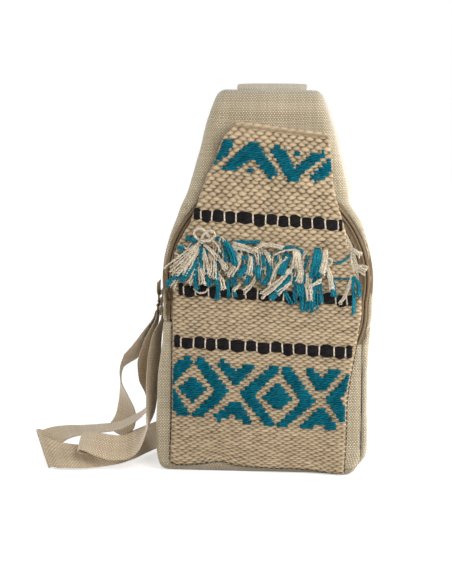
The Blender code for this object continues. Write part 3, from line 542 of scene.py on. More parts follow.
canvas = cloth_material("canvas", (0.00124, 0.00152), (0.19, 0.135, 0.068), (0.98, 0.848, 0.615),
                        0.0006, rim_highlight=0.9)
seam_roll, seam_sink = 0.0030, 0.0011
for name, kept in (("back_panel", keep_back), ("upper_shell", keep_upper),
                   ("lower_gusset", keep_gusset), ("front_panel", keep_front)):
    piece = skin.copy()
    cut_cloth(piece, kept)
    piece.normal_update()
    # Next to a seam the canvas rolls in
    for vert in piece.verts:
        edge = kept(vert.co)
        if edge < seam_roll:
            vert.co -= vert.normal * seam_sink * (1 - edge / seam_roll) ** 2
    piece = finish_piece("canvas_" + name, piece, canvas, replaced=(name,))
    wall = piece.modifiers.new("wall", "SOLIDIFY")
    wall.thickness, wall.offset = canvas_wall, -1
skin.free()


# Strap base. The wide end of the shoulder strap: two layers of the canvas over a thin pad, sewn
# behind the top edge, turned over it and narrowed down the back to the ring it is folded round.
def follow(points, i, t):
    """A place at a share of the way from one point to the next on a smooth curve through all."""
    last = len(points) - 1

    def heading(k):
        before, after = points[max(k - 1, 0)], points[min(k + 1, last)]
        h0, h1 = (points[k] - before).length, (after - points[k]).length
        if not h0 or not h1:
            return (after - before) / (h0 + h1)
        return ((points[k] - before) * h1 / h0 + (after - points[k]) * h0 / h1) / (h0 + h1)

    near, far = points[i], points[i + 1]
    run = (far - near).length
    return (near * (2 * t**3 - 3 * t**2 + 1) + far * (3 * t**2 - 2 * t**3)
            + heading(i) * run * (t**3 - 2 * t**2 + t) + heading(i + 1) * run * (t**3 - t**2))


def close_tube(bm):
    """Joins the seam of a rolled-up sheet, closes its ends and turns its faces outwards."""
    bmesh.ops.remove_doubles(bm, verts=bm.verts, dist=0.000001)
    bmesh.ops.holes_fill(bm, edges=[edge for edge in bm.edges if edge.is_boundary], sides=0)
    bmesh.ops.recalc_face_normals(bm, faces=bm.faces)
    return bm


def rounded(value, power):
    """A sine or cosine filled out towards a square corner."""
    return math.copysign(abs(value) ** power, value)


def lay_band(stations, thickness, step=0.0022, around=24, edge=0.45):
    """A flat band with rounded selvedges through (centre, width direction, width) stations."""
    centres = [Vector(station[0]) for station in stations]
    spans = []
    for i in range(len(centres) - 1):
        count = max(1, round((centres[i + 1] - centres[i]).length / step))
        spans += [(i, k / count) for k in range(count)]
    spans.append((len(centres) - 2, 1.0))
    line = [follow(centres, i, t) for i, t in spans]
    last, reach = len(line) - 1, distances(line)
    frames = []
    for n, (i, t) in enumerate(spans):
        ahead = (line[min(n + 1, last)] - line[max(n - 1, 0)]).normalized()
        across = Vector(stations[i][1]).lerp(Vector(stations[i + 1][1]), t).normalized()
        width = stations[i][2] + (stations[i + 1][2] - stations[i][2]) * t
        slant = ahead.dot(across)
        out = ahead.cross(across).normalized()
        frames.append((line[n], across / math.sqrt(1 - slant * slant), out, width))

    def lay(column, row):
        centre, across, out, width = frames[row]
        turn = 2 * math.pi * (column + 0.5) / around
        side, up = rounded(math.cos(turn), 0.7), rounded(math.sin(turn), edge)
        point = centre + across * side * width / 2 + out * up * (thickness / 2)
        return point, (side * width / 2, reach[row])

    return close_tube(cloth_grid(around, last, lay)), reach[-1]


def hook_stations(bar, radius, outward, over, across, width, tail):
    """Stations half round a bar, from its outward side over to the other, with a tail."""
    bar, outward, over, across = (Vector(item) for item in (bar, outward, over, across))
    stations = []
    for turn in (math.radians(30 * step) for step in range(7)):
        place = bar + radius * (outward * math.cos(turn) + over * math.sin(turn))
        stations.append((place, across, width))
    stations.append((bar - outward * radius - over * tail, across, width))
    return stations


base_ring_place, ring_wire, ring_inside = (0.0, 0.0657, 0.2580), 0.0018, 0.0265
ring_opening, ring_gap, base_thickness = 0.0062, 0.0003, 0.0030
bar_up = ring_opening / 2 + ring_wire / 2
base_route = (
    (0.0372, 0.3300, 0.066), (0.0369, 0.3460, 0.066), (0.0388, 0.3550, 0.066),
    (0.0440, 0.3605, 0.066), (0.0505, 0.3590, 0.064), (0.0560, 0.3510, 0.060),
    (0.0600, 0.3350, 0.052), (0.0620, 0.3100, 0.040), (0.0629, 0.2850, 0.030),
    (0.0630, 0.2700, 0.0255))
stations = [((0, y, z), (1, 0, 0), width) for y, z, width in base_route]
stations += hook_stations(Vector(base_ring_place) + Vector((0, 0, bar_up)),
                          ring_wire / 2 + ring_gap + base_thickness / 2,
                          (0, -1, 0), (0, 0, -1), (1, 0, 0), 0.0255, 0.010)
stations = [(settle(Vector(place)) + Vector((0, 0, 0.0008)), across, width)
            for place, across, width in stations]
strap_base, _ = lay_band(stations, base_thickness, around=32, edge=0.6)
base_cloth = cloth_material("canvas_strap_base", (0.00115, 0.00130), (0.36, 0.29, 0.20),
                            (0.97, 0.90, 0.75), 0.00022, 0.10, 0.9, rim_highlight=0.9)
padded_base = finish_piece("padded_strap_base", strap_base, base_cloth, replaced=("strap_base",))


# Zip. Two brown woven tapes sewn behind the canvas round the arch. The coil is on the tapes'
# inner edges, which are turned over it, so that what shows is two ribbed rolls and a dark slit.
# The tape inside the arch has slack and lies in small waves.
zip_feet = (0.1365, 0.1150)


def on_zip(x, lift, v):
    """A point at a place on the front, its right side drawn in with the canvas round it."""
    return from_front(x - turn_in(x, v) - lean(v) * ease(x, 0.0, 0.060), lift, v)


def zip_line(offset, step, raised):
    """Places (x, v, outward x, outward v, distance) along the zip at an offset outside it,
    between feet raised by a little."""
    radius = arch_radius + offset
    straight = arch_radius * math.cos(arch_below) + offset
    spring = arch_centre - arch_radius * math.sin(arch_below)
    left_foot, right_foot = (foot + raised for foot in zip_feet)
    rise, fall = spring - left_foot, spring - right_foot
    total = rise + (math.pi + 2 * arch_below) * arch_radius + fall
    count = round(total / step)
    line = []
    for i in range(count + 1):
        along = total * i / count
        if along < rise:
            line.append((-straight, left_foot + along, -1.0, 0.0, along))
        elif along > total - fall:
            line.append((straight, right_foot + total - along, 1.0, 0.0, along))
        else:
            angle = -arch_below + (along - rise) / arch_radius
            line.append((-radius * math.cos(angle), arch_centre + radius * math.sin(angle),
                         -math.cos(angle), math.sin(angle), along))
    return line


tape_face, tape_thickness, coil_height = -0.0015, 0.0007, 0.0015


def lay_tape(near, far, wave):
    """A closed strip of tape between two offsets, its edges rounded."""
    line = zip_line(near, 0.0011, -0.0030)
    around = 20

    def lay(column, row):
        x, v, nx, nv, along = line[row]
        turn = 2 * math.pi * (column + 0.5) / around
        side = 0.5 + 0.5 * rounded(math.cos(turn), 0.8)
        out, lift = wave(side, along)
        lift += tape_face - tape_thickness / 2 * (1 - rounded(math.sin(turn), 0.5))
        offset = (far - near) * side + out
        return (on_zip(x + nx * offset, lift, v + nv * offset), (side * (far - near), along))

    return close_tube(cloth_grid(around, len(line) - 1, lay))


def inner_wave(side, along):
    """The slack of the tape inside the arch: how far it waves out and off."""
    slack = (1 - side) * (0.5 + 0.5 * noise.noise(Vector((along * 14, 0.3, 2.0))))
    out = 0.0011 * slack * math.sin(along * 610 + 2.0 * math.sin(along * 90))
    return out, 0.0007 * (1 - side) * math.sin(along * 610 + 1.2)


def outer_wave(side, along):
    """The tape outside the arch lies almost flat."""
    return 0.0, 0.0002 * side * math.sin(along * 300)


tape_cloth = cloth_material("zip_tape_cloth", (0.00070, 0.00070), (0.10, 0.060, 0.028),
                            (0.50, 0.36, 0.215), 0.00014, 0.12, 0.8)
for end, near, far, wave in (("outer", 0.0009, outer_lip + 0.0020, outer_wave),
                             ("inner", -inner_lip + seam_gap, -0.0009, inner_wave)):
    finish_piece("woven_tape_" + end, lay_tape(near, far, wave), tape_cloth,
                 replaced=("zip_tape_" + end,))


def lay_roll(side):
    """A turned tape edge over its half of the coil, ribbed by the coil's turns."""
    slit, width, pitch = 0.00035, 0.0024, 0.00125
    line = zip_line(side * (slit + width / 2), 0.00031, 0.0045)
    around = 10

    def lay(column, row):
        x, v, nx, nv, along = line[row]
        turn = 2 * math.pi * column / around
        rib = 0.5 + 0.5 * math.cos(2 * math.pi * (along / pitch + 0.10 * side * math.cos(turn)))
        swell = 0.84 + 0.16 * rib
        offset = math.cos(turn) * width / 2 * swell
        lift = -0.0012 + coil_height / 2 + math.sin(turn) * coil_height / 2 * swell
        return on_zip(x + nx * offset, lift, v + nv * offset), (turn * 0.0008, along)

    return close_tube(cloth_grid(around, len(line) - 1, lay))


coil_cloth = cloth_material("zip_coil_cloth", (0.00050, 0.00050), (0.065, 0.038, 0.018),
                            (0.42, 0.29, 0.165), 0.00010, 0.12, 0.7)
for end, side in (("outer", 1), ("inner", -1)):
    finish_piece("coil_roll_" + end, lay_roll(side), coil_cloth, replaced=("zip_chain_" + end,))


# Metal of the zip and the rings: brass blackened to an antique bronze, worn lighter on the
# parts that stand out and dull in the hollows.
bronze, tree, finish = new_material("antique_bronze", {"Metallic": 1.0})
place = add_node(tree, "TexCoord").outputs["Object"]
wear = add_node(tree, "TexNoise", {"Vector": place, "Scale": 420.0, "Detail": 4.0}).outputs["Fac"]
form = add_node(tree, "NewGeometry").outputs["Pointiness"]
raised = maths(tree, "MULTIPLY_ADD", form, 5.0, -2.3)
worn = add_node(tree, "Clamp", {"Value": maths(tree, "MULTIPLY", raised, wear)}).outputs[0]
feed(tree, finish["Base Color"],
     blend_colours(tree, worn, (0.032, 0.022, 0.013), (0.30, 0.20, 0.095)))
feed(tree, finish["Roughness"], maths(tree, "MULTIPLY_ADD", wear, 0.30, 0.36))
emboss(tree, finish, wear, 0.25, 0.00008)


def soften(node, name, body, width, moved=(0.0, 0.0, 0.0)):
    """A copy of a node with its edges rounded, to wear the same finish."""
    bm = bmesh.new()
    bm.from_mesh(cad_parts[node].data)
    bmesh.ops.remove_doubles(bm, verts=bm.verts, dist=0.00001)
    bmesh.ops.dissolve_limit(bm, angle_limit=0.02, verts=bm.verts, edges=bm.edges)
    sharp = [edge for edge in bm.edges if edge.is_manifold and edge.calc_face_angle() > 0.5]
    bmesh.ops.bevel(bm, geom=sharp, offset=width, offset_type="OFFSET", segments=2, profile=0.5,
                    affect="EDGES", material=-1, clamp_overlap=True)
    bmesh.ops.triangulate(bm, faces=[face for face in bm.faces if len(face.verts) > 4])
    bmesh.ops.translate(bm, verts=bm.verts, vec=moved)
    for edge in bm.edges:
        edge.smooth = edge.is_manifold and edge.calc_face_angle() < 0.6
    return finish_piece(name, bm, bronze, body=body, replaced=(node,))


soften("zip_slider", "slider_body", "zip_slider", 0.00022)
soften("zip_puller", "puller_plate", "zip_puller", 0.00020)
# The end stops move down with the zip's two feet, from the one height where the solids have them
old_foot, chain = 0.1432, arch_radius * math.cos(arch_below)
for side, end, foot in ((-1, "left", zip_feet[0]), (1, "right", zip_feet[1])):
    moved = on_zip(side * chain, -0.0018, foot + 0.0026)
    moved -= from_front(side * chain, 0.0, old_foot + 0.0025)
    soften("zip_stop_" + end, "end_stop_" + end, "backpack", 0.00020, moved)


# Handwoven panel. Thick undyed cotton weft beaten hard over sparse warps, so its face is rows of
# staggered lens-shaped bumps. Its lower part is stitched down to the front inside the zip; above
# it stands off as a free tongue over the zip's top, its upper edge turned over in a thick roll.
left_edge = (
    (0.0104, -0.0890), (0.0454, -0.0878), (0.0725, -0.0873), (0.1032, -0.0872), (0.1310, -0.0874),
    (0.1588, -0.0877), (0.1774, -0.0878), (0.1913, -0.0874), (0.2030, -0.0855), (0.2133, -0.0816),
    (0.2232, -0.0757), (0.2324, -0.0703), (0.2385, -0.0686), (0.2441, -0.0657), (0.2561, -0.0621),
    (0.2720, -0.0562), (0.2842, -0.0502), (0.2922, -0.0469), (0.3030, -0.0436), (0.3124, -0.0382),
    (0.3180, -0.0338), (0.3250, -0.0316))
right_edge = (
    (0.0020, 0.0726), (0.0148, 0.0731), (0.0420, 0.0740), (0.0691, 0.0744), (0.0976, 0.0787),
    (0.1220, 0.0831), (0.1342, 0.0850), (0.1464, 0.0868), (0.1626, 0.0867), (0.1725, 0.0855),
    (0.1871, 0.0800), (0.1962, 0.0772), (0.2053, 0.0756), (0.2135, 0.0735), (0.2245, 0.0718),
    (0.2391, 0.0675), (0.2618, 0.0612), (0.2891, 0.0584), (0.3028, 0.0567), (0.3087, 0.0562),
    (0.3140, 0.0558))
# Where each row of weft that starts at one height on the left ends on the right
row_ends = ((0.0090, 0.0020), (0.0600, 0.0525), (0.1204, 0.1124), (0.1687, 0.1600),
            (0.2385, 0.2293), (0.3250, 0.3140))
bottom_wave = ((-0.0890, -0.0002), (-0.0814, -0.0021), (-0.0607, 0.0002), (-0.0417, 0.0039),
               (-0.0267, 0.0008), (0.0000, 0.0004), (0.0374, 0.0010), (0.0563, -0.0005),
               (0.0726, 0.0))
# The weft lies finer towards the foot: (height, rows below it). Warps stand half a bump apart
row_marks = ((0.0, 0.0), (0.060, 29.3), (0.150, 68.4), (0.210, 89.8), (0.270, 108.0),
             (0.330, 125.1))
panel_thickness, bump_pitch = 0.0020, 0.0078


def panel_lift(v):
    """How far the back of the panel stands off the front."""
    return 0.0004 + 0.0060 * ease(v, 0.192, 0.224) + 0.0022 * ease(v, 0.285, 0.322)


def weft_line(level, share):
    """Place across and up the front, at a level on the left edge and a share of the width."""
    v0, v1 = level, curve_value(row_ends, level)
    x0, x1 = curve_value(left_edge, v0), curve_value(right_edge, v1)
    x = x0 + (x1 - x0) * share
    v = v0 + (v1 - v0) * share
    v += curve_value(bottom_wave, x) * (1 - ease(level, 0.009, 0.035))
    v += 0.0009 * noise.noise(Vector((x * 18, level * 24, 1.7)))
    return x, v


def chance(*numbers):
    """A fixed number from 0 to 1 for a place in the weave."""
    return noise.noise(Vector([n * 7.31 + 0.5 for n in (*numbers, 0.0, 0.0)[:3]])) * 0.5 + 0.5


def weft_bump(x, level):
    """Height from 0 to 1 of the bumpy weft at one place, and the tone of that bump's yarn."""
    row = curve_value(row_marks, level) + 0.35 * noise.noise(Vector((x * 90, level * 60, 8.3)))
    x += 0.0016 * noise.noise(Vector((x * 70, level * 110, 2.9)))
    best, tone, shade = 0.40, 0.35, 0.0
    for i in (math.floor(row) - 1, math.floor(row), math.floor(row) + 1):
        along = x / bump_pitch + 0.5 * (i % 2) + 0.24 * (chance(i, x * 7) - 0.5)
        k = math.floor(along)
        draw = chance(i, k, 4)
        side = (along - k - 0.5) / (0.40 + 0.18 * draw)
        up = row - i - 0.5 - 0.42 * (chance(k, i, 9) - 0.5) - 0.30 * side * (draw - 0.35)
        up /= 0.98 if up > 0 else 0.80
        reach = (abs(side) ** 2.3 + abs(up) ** 2.3) ** (1 / 2.3)
        lobe = max(0.0, 1.0 - reach ** 2.6) ** 0.50 * (0.76 + 0.34 * draw)
        if lobe > best:
            best, tone = lobe, chance(i, k, 2)
        # The shed closes under each bump, in a short curved shadow
        if up < 0.15:
            under = math.exp(-((reach - 1.02) / 0.17) ** 2) * min(max(0.25 - up * 1.4, 0.0), 1.0)
            shade = max(shade, under * (0.45 + 0.75 * chance(k, i, 13)))
    return best - 0.62 * min(shade, 1.0), tone


columns, rows = 152, 560
low_level, high_level = 0.0090, 0.3250
roll_width, rim_width, tongue_corner = 0.0052, 0.0020, 0.0075
# The upper rows of squares are longer than the lower ones, as the bumps are
lower_rows, lower_part, upper_rows, upper_part = 0.7, 0.606, 0.3, 0.394


def lay_panel(column, row):
    """A corner of the panel, its place on the cloth, and its yarn's crest and tone."""
    part = row / rows
    if part < lower_rows:
        part = part * lower_part / lower_rows
    else:
        part = lower_part + (part - lower_rows) * upper_part / upper_rows
    level = low_level + (high_level - low_level) * part
    x, v = weft_line(level, column / columns)
    height, tone = weft_bump(x, level)
    relief = 0.0010 + 0.0007 * ease(level, 0.100, 0.270)
    rim = min(column, columns - column) / columns * 0.16
    lift = panel_lift(v) + panel_thickness + relief * (height - 0.55)
    lift += 0.0010 * noise.noise(Vector((x * 17, v * 15, 5.2)))
    # A soft crease across the foot, at its left
    lift -= 0.0012 * math.exp(-((v - 0.0165) / 0.0030) ** 2) * (1 - ease(x, -0.050, -0.030))
    # The bound edge: the cloth turned over in a thick roll along the top
    turned = high_level - level
    if turned < roll_width:
        across = turned / roll_width
        roll = math.sin(math.pi * min(across * 1.1 + 0.12, 1.0)) ** 0.6
        lift = panel_lift(v) + panel_thickness + 0.0012 * roll + 0.0008 * (height - 0.5) * roll
        lift -= 0.0004 * (1 - roll)
        # The crest mark, which sets the colour, falls towards the edges of the roll: painted shade where
        # the roll turns away
        height = 0.42 + 0.58 * height * roll
    if rim < rim_width:
        lift -= 0.0016 * (1 - rim / rim_width) ** 2
        height = max(height, 0.5)
    x += math.copysign(0.0005, x) * (height - 0.5) * (1 - min(rim / 0.004, 1.0))
    # Rounded corners of the tongue
    for side, edge_share in ((-1, 0), (1, 1)):
        edge_x, _ = weft_line(high_level - tongue_corner, edge_share)
        inner = edge_x - side * tongue_corner
        above = level - (high_level - tongue_corner)
        if above > 0 and side * (x - inner) > 0:
            reach = math.sqrt(max(tongue_corner**2 - above**2, 0.0))
            x = inner + (x - inner) * reach / tongue_corner
    point = from_front(x, lift, v)
    point.y -= foot_forward(point.x, point.z)
    return point, (x, level), height, tone


panel = cloth_grid(columns, rows, lay_panel, ("crest", "tone"))
bmesh.ops.remove_doubles(panel, verts=panel.verts, dist=0.00001)
rim_edges = [edge for edge in panel.edges if edge.is_boundary]
turned_back = bmesh.ops.extrude_edge_only(panel, edges=rim_edges)["geom"]
turned_back = [part for part in turned_back if isinstance(part, bmesh.types.BMVert)]
for vert in turned_back:
    x, lift, v = front_place(vert.co)
    vert.co = from_front(x, panel_lift(v), v)
    vert.co.y -= foot_forward(vert.co.x, vert.co.z)
back_edges = [edge for edge in panel.edges if edge.is_boundary]
bmesh.ops.triangle_fill(panel, use_beauty=True, use_dissolve=False, edges=back_edges,
                        normal=(0, -1, 0))
bmesh.ops.recalc_face_normals(panel, faces=panel.faces)

# Thick spun yarn: slanting fibres, an uneven colour, and dark hollows between the bumps; the hollows are
# painted shade, the colour darkening where the crest mark is low, between and under the bumps
woven_yarn, tree, finish = new_material("woven_yarn", {
    "Roughness": 0.92, "Specular IOR Level": 0.15, "Sheen Weight": 0.15, "Sheen Roughness": 0.7})
place = add_node(tree, "TexCoord").outputs["Object"]
slanted = add_node(tree, "Mapping", {"Vector": place, "Rotation": (0, math.radians(24), 0),
                                     "Scale": (0.22, 1.0, 1.4)}).outputs["Vector"]
fibres = add_node(tree, "TexNoise", {"Vector": slanted, "Scale": 900.0, "Detail": 3.0})
cloud = add_node(tree, "TexNoise", {"Vector": place, "Scale": 70.0})
crest, tone = (add_node(tree, "Attribute", attribute_name=mark).outputs["Fac"]
               for mark in ("crest", "tone"))
share = maths(tree, "MULTIPLY_ADD", fibres.outputs["Fac"], 1.3, -0.25)
share = maths(tree, "MULTIPLY_ADD", cloud.outputs["Fac"], 0.5, maths(tree, "MULTIPLY", share, 0.6))
# Painted shade: a low crest, in the hollows between the bumps and under each one, darkens the colour
raised = maths(tree, "MULTIPLY", maths(tree, "POWER", crest, 1.3), 0.84)
share = maths(tree, "MULTIPLY_ADD", share, 0.42, maths(tree, "MULTIPLY_ADD", tone, 0.25, raised))
share = add_node(tree, "Clamp", {"Value": maths(tree, "SUBTRACT", share, 0.26)}).outputs[0]
feed(tree, finish["Base Color"],
     blend_colours(tree, share, (0.055, 0.032, 0.013), (0.68, 0.515, 0.320)))
emboss(tree, finish, fibres.outputs["Fac"], 0.6, 0.00028)
panel = finish_piece("woven_front", panel, woven_yarn, replaced=("woven_panel",))


# Teal zigzags and diamonds. Supplementary weft of dyed cotton roving, laid in over the ground
# weft in short floats, two to each shed, so that every slope of the pattern goes in steps. The
# ends dive back into the cloth.
off_panel = Vector((0, -1, 0))


def lay_strand(bm, path, radius, sides=6, press=1.0, blunt=0.35):
    """One yarn along a list of points, drawn in to nothing over both ends."""
    last, reach = len(path) - 1, distances(path)
    made = bmesh.ops.create_grid(bm, x_segments=sides, y_segments=last, size=0.5)["verts"]
    cloth = bm.loops.layers.uv["cloth"]
    frames = []
    for i, point in enumerate(path):
        ahead = (path[min(i + 1, last)] - path[max(i - 1, 0)]).normalized()
        across = ahead.cross(off_panel)
        across = across.normalized() if across.length > 0.02 else Vector((0, 0, 1))
        share = min(reach[i], reach[-1] - reach[i]) / (radius * 2.0)
        full = radius * (1.0 if share >= 1 else max(share, 0.0) ** blunt)
        frames.append((point, across, ahead.cross(across), full if 0 < i < last else 0.0))
    for vert in made:
        side, i = round((vert.co.x + 0.5) * sides), round((vert.co.y + 0.5) * last)
        point, across, up, full = frames[i]
        turn = 2 * math.pi * side / sides
        vert.co = point + across * full * math.cos(turn) + up * full * press * math.sin(turn)
        for loop in vert.link_loops:
            loop[cloth].uv = (side / sides, reach[i])


def strand_mesh():
    """An empty mesh for strands."""
    bm = bmesh.new()
    bm.loops.layers.uv.new("cloth")
    return bm


def close_strands(bm):
    """Joins each strand's seam and ends and turns its faces outwards."""
    bmesh.ops.remove_doubles(bm, verts=bm.verts, dist=0.0000005)
    bmesh.ops.recalc_face_normals(bm, faces=bm.faces)
    return bm


# Twisted plies: u runs round the strand and v along it in metres
plies, given, result = effect(
    "twisted_plies",
    (("Place", "NodeSocketVector", None), ("Plies", "NodeSocketFloat", 3.0),
     ("Pitch", "NodeSocketFloat", 0.006), ("Body", "NodeSocketVector", None)),
    (("Height", "NodeSocketFloat"), ("Tone", "NodeSocketFloat")),
)
strand = add_node(plies, "SeparateXYZ", {0: given["Place"]}).outputs
turned = maths(plies, "ADD", maths(plies, "MULTIPLY", strand["X"], given["Plies"]),
               maths(plies, "DIVIDE", strand["Y"], given["Pitch"]))
ridge = maths(plies, "ABSOLUTE", maths(plies, "SINE", maths(plies, "MULTIPLY", turned, math.pi)))
along = add_node(plies, "CombineXYZ", {"X": maths(plies, "MULTIPLY", turned, 5.0),
                                       "Y": maths(plies, "MULTIPLY", strand["Y"], 420.0)})
drift = add_node(plies, "VectorMath", {0: given["Body"], 1: (300.0, 300.0, 300.0),
                                       2: along.outputs[0]}, operation="MULTIPLY_ADD")
hairs = add_node(plies, "TexNoise", {"Vector": drift.outputs[0], "Scale": 1.0,
                                     "Detail": 3.0}).outputs["Fac"]
cloudy = add_node(plies, "TexNoise", {"Vector": given["Body"], "Scale": 120.0}).outputs["Fac"]
feed(plies, result["Height"],
     maths(plies, "MULTIPLY_ADD", hairs, 0.8, maths(plies, "MULTIPLY", ridge, 0.6)))
# Painted shade: the tone darkens in the grooves between the plies; the cloudy and hairy parts are the
# yarn's own uneven colour
tone = maths(plies, "MULTIPLY_ADD", ridge, 0.35, maths(plies, "MULTIPLY_ADD", cloudy, 0.8, -0.55))
feed(plies, result["Tone"], maths(plies, "MULTIPLY_ADD", hairs, 0.9, tone))


def strand_material(name, dark, light, pitch=0.004, relief=0.0004, sheen=0.1):
    """Yarn whose strands carry their own places round and along."""
    material, tree, finish = new_material(name, {
        "Roughness": 0.9, "Specular IOR Level": 0.06, "Sheen Weight": sheen,
        "Sheen Roughness": 0.6})
    twisted = add_node(tree, "Group", {
        "Place": add_node(tree, "UVMap", uv_map="cloth").outputs["UV"], "Plies": 2.0,
        "Pitch": pitch, "Body": add_node(tree, "TexCoord").outputs["Object"]},
        node_tree=plies).outputs
    share = add_node(tree, "Clamp", {"Value": twisted["Tone"]}).outputs[0]
    feed(tree, finish["Base Color"], blend_colours(tree, share, dark, light))
    emboss(tree, finish, twisted["Height"], 0.8, relief)
    return material


# Outlines of the motifs, across and up the front in millimetres
motifs = {
    "teal_arm_left_top": ((-87.2, 93.9), (-84.1, 100.1), (-78.6, 105.4), (-71.1, 105.5),
        (-68.1, 103.4), (-68.4, 100.4), (-75.8, 92.1), (-85.3, 82.3), (-87.7, 80.9)),
    "teal_arm_left_foot": ((-87.9, 79.6), (-85.7, 77.2), (-78.4, 65.4), (-70.5, 54.2), (-71.3, 51.5),
        (-80.4, 51.4), (-85.9, 57.1), (-88.7, 63.2)),
    "teal_chevron_1": ((-65.9, 103.2), (-64.0, 104.8), (-57.5, 104.7), (-50.6, 96.6), (-34.1, 75.8),
        (-42.2, 65.4), (-59.8, 50.4), (-68.0, 51.0), (-68.9, 53.2), (-47.7, 74.9), (-65.6, 100.4)),
    "teal_vee_1": ((-45.2, 99.2), (-44.1, 103.3), (-39.1, 103.9), (-27.4, 94.1), (-19.3, 100.9),
        (-11.8, 100.7), (-10.3, 97.6), (-26.0, 81.0), (-30.3, 82.0)),
    "teal_peak_1": ((-29.9, 67.7), (-24.2, 65.5), (-12.7, 47.7), (-14.5, 44.8), (-18.9, 45.8),
        (-30.9, 53.4), (-42.1, 48.0), (-49.2, 48.7), (-49.7, 51.4), (-36.7, 61.5)),
    "teal_chevron_2": ((-0.3, 95.5), (3.8, 98.7), (10.8, 98.6), (12.6, 95.7), (11.9, 93.7),
        (-10.7, 72.2), (8.3, 46.7), (7.8, 43.6), (1.6, 42.9), (-2.5, 46.5), (-24.8, 73.7)),
    "teal_chevron_3": ((14.0, 95.8), (15.3, 97.8), (23.0, 97.7), (46.1, 66.9), (18.6, 43.3),
        (11.1, 42.6), (10.3, 45.4), (32.5, 66.9), (13.7, 93.5)),
    "teal_vee_2": ((36.3, 94.1), (37.6, 96.9), (43.7, 96.3), (51.5, 90.1), (59.9, 98.0), (66.6, 97.7),
        (68.7, 94.7), (54.1, 76.2), (47.3, 76.7)),
    "teal_peak_2": ((50.2, 62.5), (54.2, 59.9), (66.0, 45.2), (64.2, 41.1), (57.8, 41.7),
        (48.7, 47.6), (41.6, 42.0), (33.5, 41.4), (32.1, 44.5)),
    "teal_chevron_4": ((78.4, 95.6), (78.8, 82.7), (68.7, 69.7), (75.2, 60.3), (74.9, 46.8),
        (69.3, 47.1), (65.1, 55.4), (54.4, 69.4)),
    "teal_diamond_1": ((-68.3, 88.8), (-54.6, 76.4), (-68.1, 64.3), (-81.9, 77.2)),
    "teal_diamond_2": ((10.9, 84.4), (24.6, 69.2), (11.2, 57.3), (-3.3, 70.3)),
    "teal_top_arm_left": ((-40.4, 306.3), (-32.4, 306.7), (-30.8, 302.0), (-35.3, 297.4),
        (-36.4, 293.0), (-41.1, 290.7), (-42.7, 288.0), (-47.7, 288.2), (-43.4, 299.0)),
    "teal_top_peak": ((-18.5, 303.2), (-8.7, 303.0), (-4.3, 296.6), (9.5, 276.9), (8.5, 273.7),
        (1.5, 272.3), (-13.0, 289.5), (-24.5, 282.8), (-30.5, 277.6), (-41.7, 277.8), (-43.1, 280.2),
        (-32.6, 289.7)),
    "teal_top_vee": ((2.4, 297.7), (6.4, 300.7), (15.1, 299.7), (24.7, 281.8), (32.0, 287.5),
        (41.3, 295.6), (51.5, 296.6), (53.1, 292.8), (42.7, 284.7), (31.0, 275.5), (28.8, 270.6),
        (19.2, 270.3), (15.7, 275.3), (10.5, 286.0)),
    "teal_top_arm_right": ((58.2, 291.3), (60.4, 289.1), (60.5, 279.1), (53.5, 274.1), (51.6, 270.8),
        (44.2, 269.3), (38.0, 272.6), (41.5, 276.9), (50.8, 284.7)),
}
# Single stitches beside the zigzag: across, up and half their width
dots = ((0.0273, 0.2948, 0.0023), (-0.0157, 0.2784, 0.0028), (-0.0490, 0.2852, 0.0015))
dot_height, float_pitch, float_radius = 0.0018, 0.00200, 0.00101


def inside(corners, x, v):
    """Whether a place lies inside a closed outline."""
    found = False
    for (x0, v0), (x1, v1) in zip(corners, corners[1:] + corners[:1]):
        if (v0 > v) != (v1 > v) and x < x0 + (x1 - x0) * (v - v0) / (v1 - v0):
            found = not found
    return found


def inside_motif(x, v):
    """Whether a place on the front belongs to the teal pattern."""
    on_dot = any(abs(x - across) < half and abs(v - up) < dot_height for across, up, half in dots)
    return on_dot or any(inside(corners, x * 1000, v * 1000) for corners in motifs.values())


def on_panel(x, v, lift):
    """A point off the face of the panel."""
    point = from_front(x, panel_lift(v) + panel_thickness + lift, v)
    point.y -= foot_forward(point.x, point.z)
    return point


teal, panel_mm, float_step_mm = strand_mesh(), 172, 0.9
shares, least_run, dive, ragged = [step / 360 for step in range(361)], 4, 0.0045, 0.002
draws = random.Random(11)
for low, high in ((0.040, 0.108), (0.268, 0.308)):
    for shed in range(round(low / (2 * float_pitch)), round(high / (2 * float_pitch))):
        level = (shed + 0.5) * 2 * float_pitch
        run, runs = [], []
        for share in shares:
            x, v = weft_line(level, share)
            if inside_motif(x, v):
                run.append(share)
            elif run:
                runs.append(run)
                run = []
        for run in runs + ([run] if run else []):
            if len(run) < least_run:
                continue
            for pick in (-0.5, 0.5):
                start = max(run[0] - dive + draws.uniform(-ragged, ragged), 0.003)
                end = min(run[-1] + dive + draws.uniform(-ragged, ragged), 0.997)
                tilt = draws.uniform(-0.0002, 0.00045)
                wave = draws.uniform(0, 6.28)
                count = max(8, round((end - start) * panel_mm / float_step_mm))
                path = []
                for i in range(count + 1):
                    share = start + (end - start) * i / count
                    a = 2 * i / count - 1
                    x, v = weft_line(level + pick * float_pitch, share)
                    v += tilt * a + 0.00016 * math.sin(wave + x * 900)
                    arch = max(1 - abs(a) ** max(2.6, (end - start) * 86), 0.0)
                    path.append(on_panel(x, v, -0.0006 + 0.0018 * arch + 0.0004 * pick))
                lay_strand(teal, path, float_radius * draws.uniform(0.90, 1.10), sides=8,
                           press=0.85, blunt=0.16)
teal_yarn = strand_material("teal_yarn", (0.0003, 0.016, 0.027), (0.005, 0.205, 0.285),
                            pitch=0.006, relief=0.0006, sheen=0.0)
finish_piece("teal_floats", close_strands(teal), teal_yarn,
             replaced=tuple(motifs))


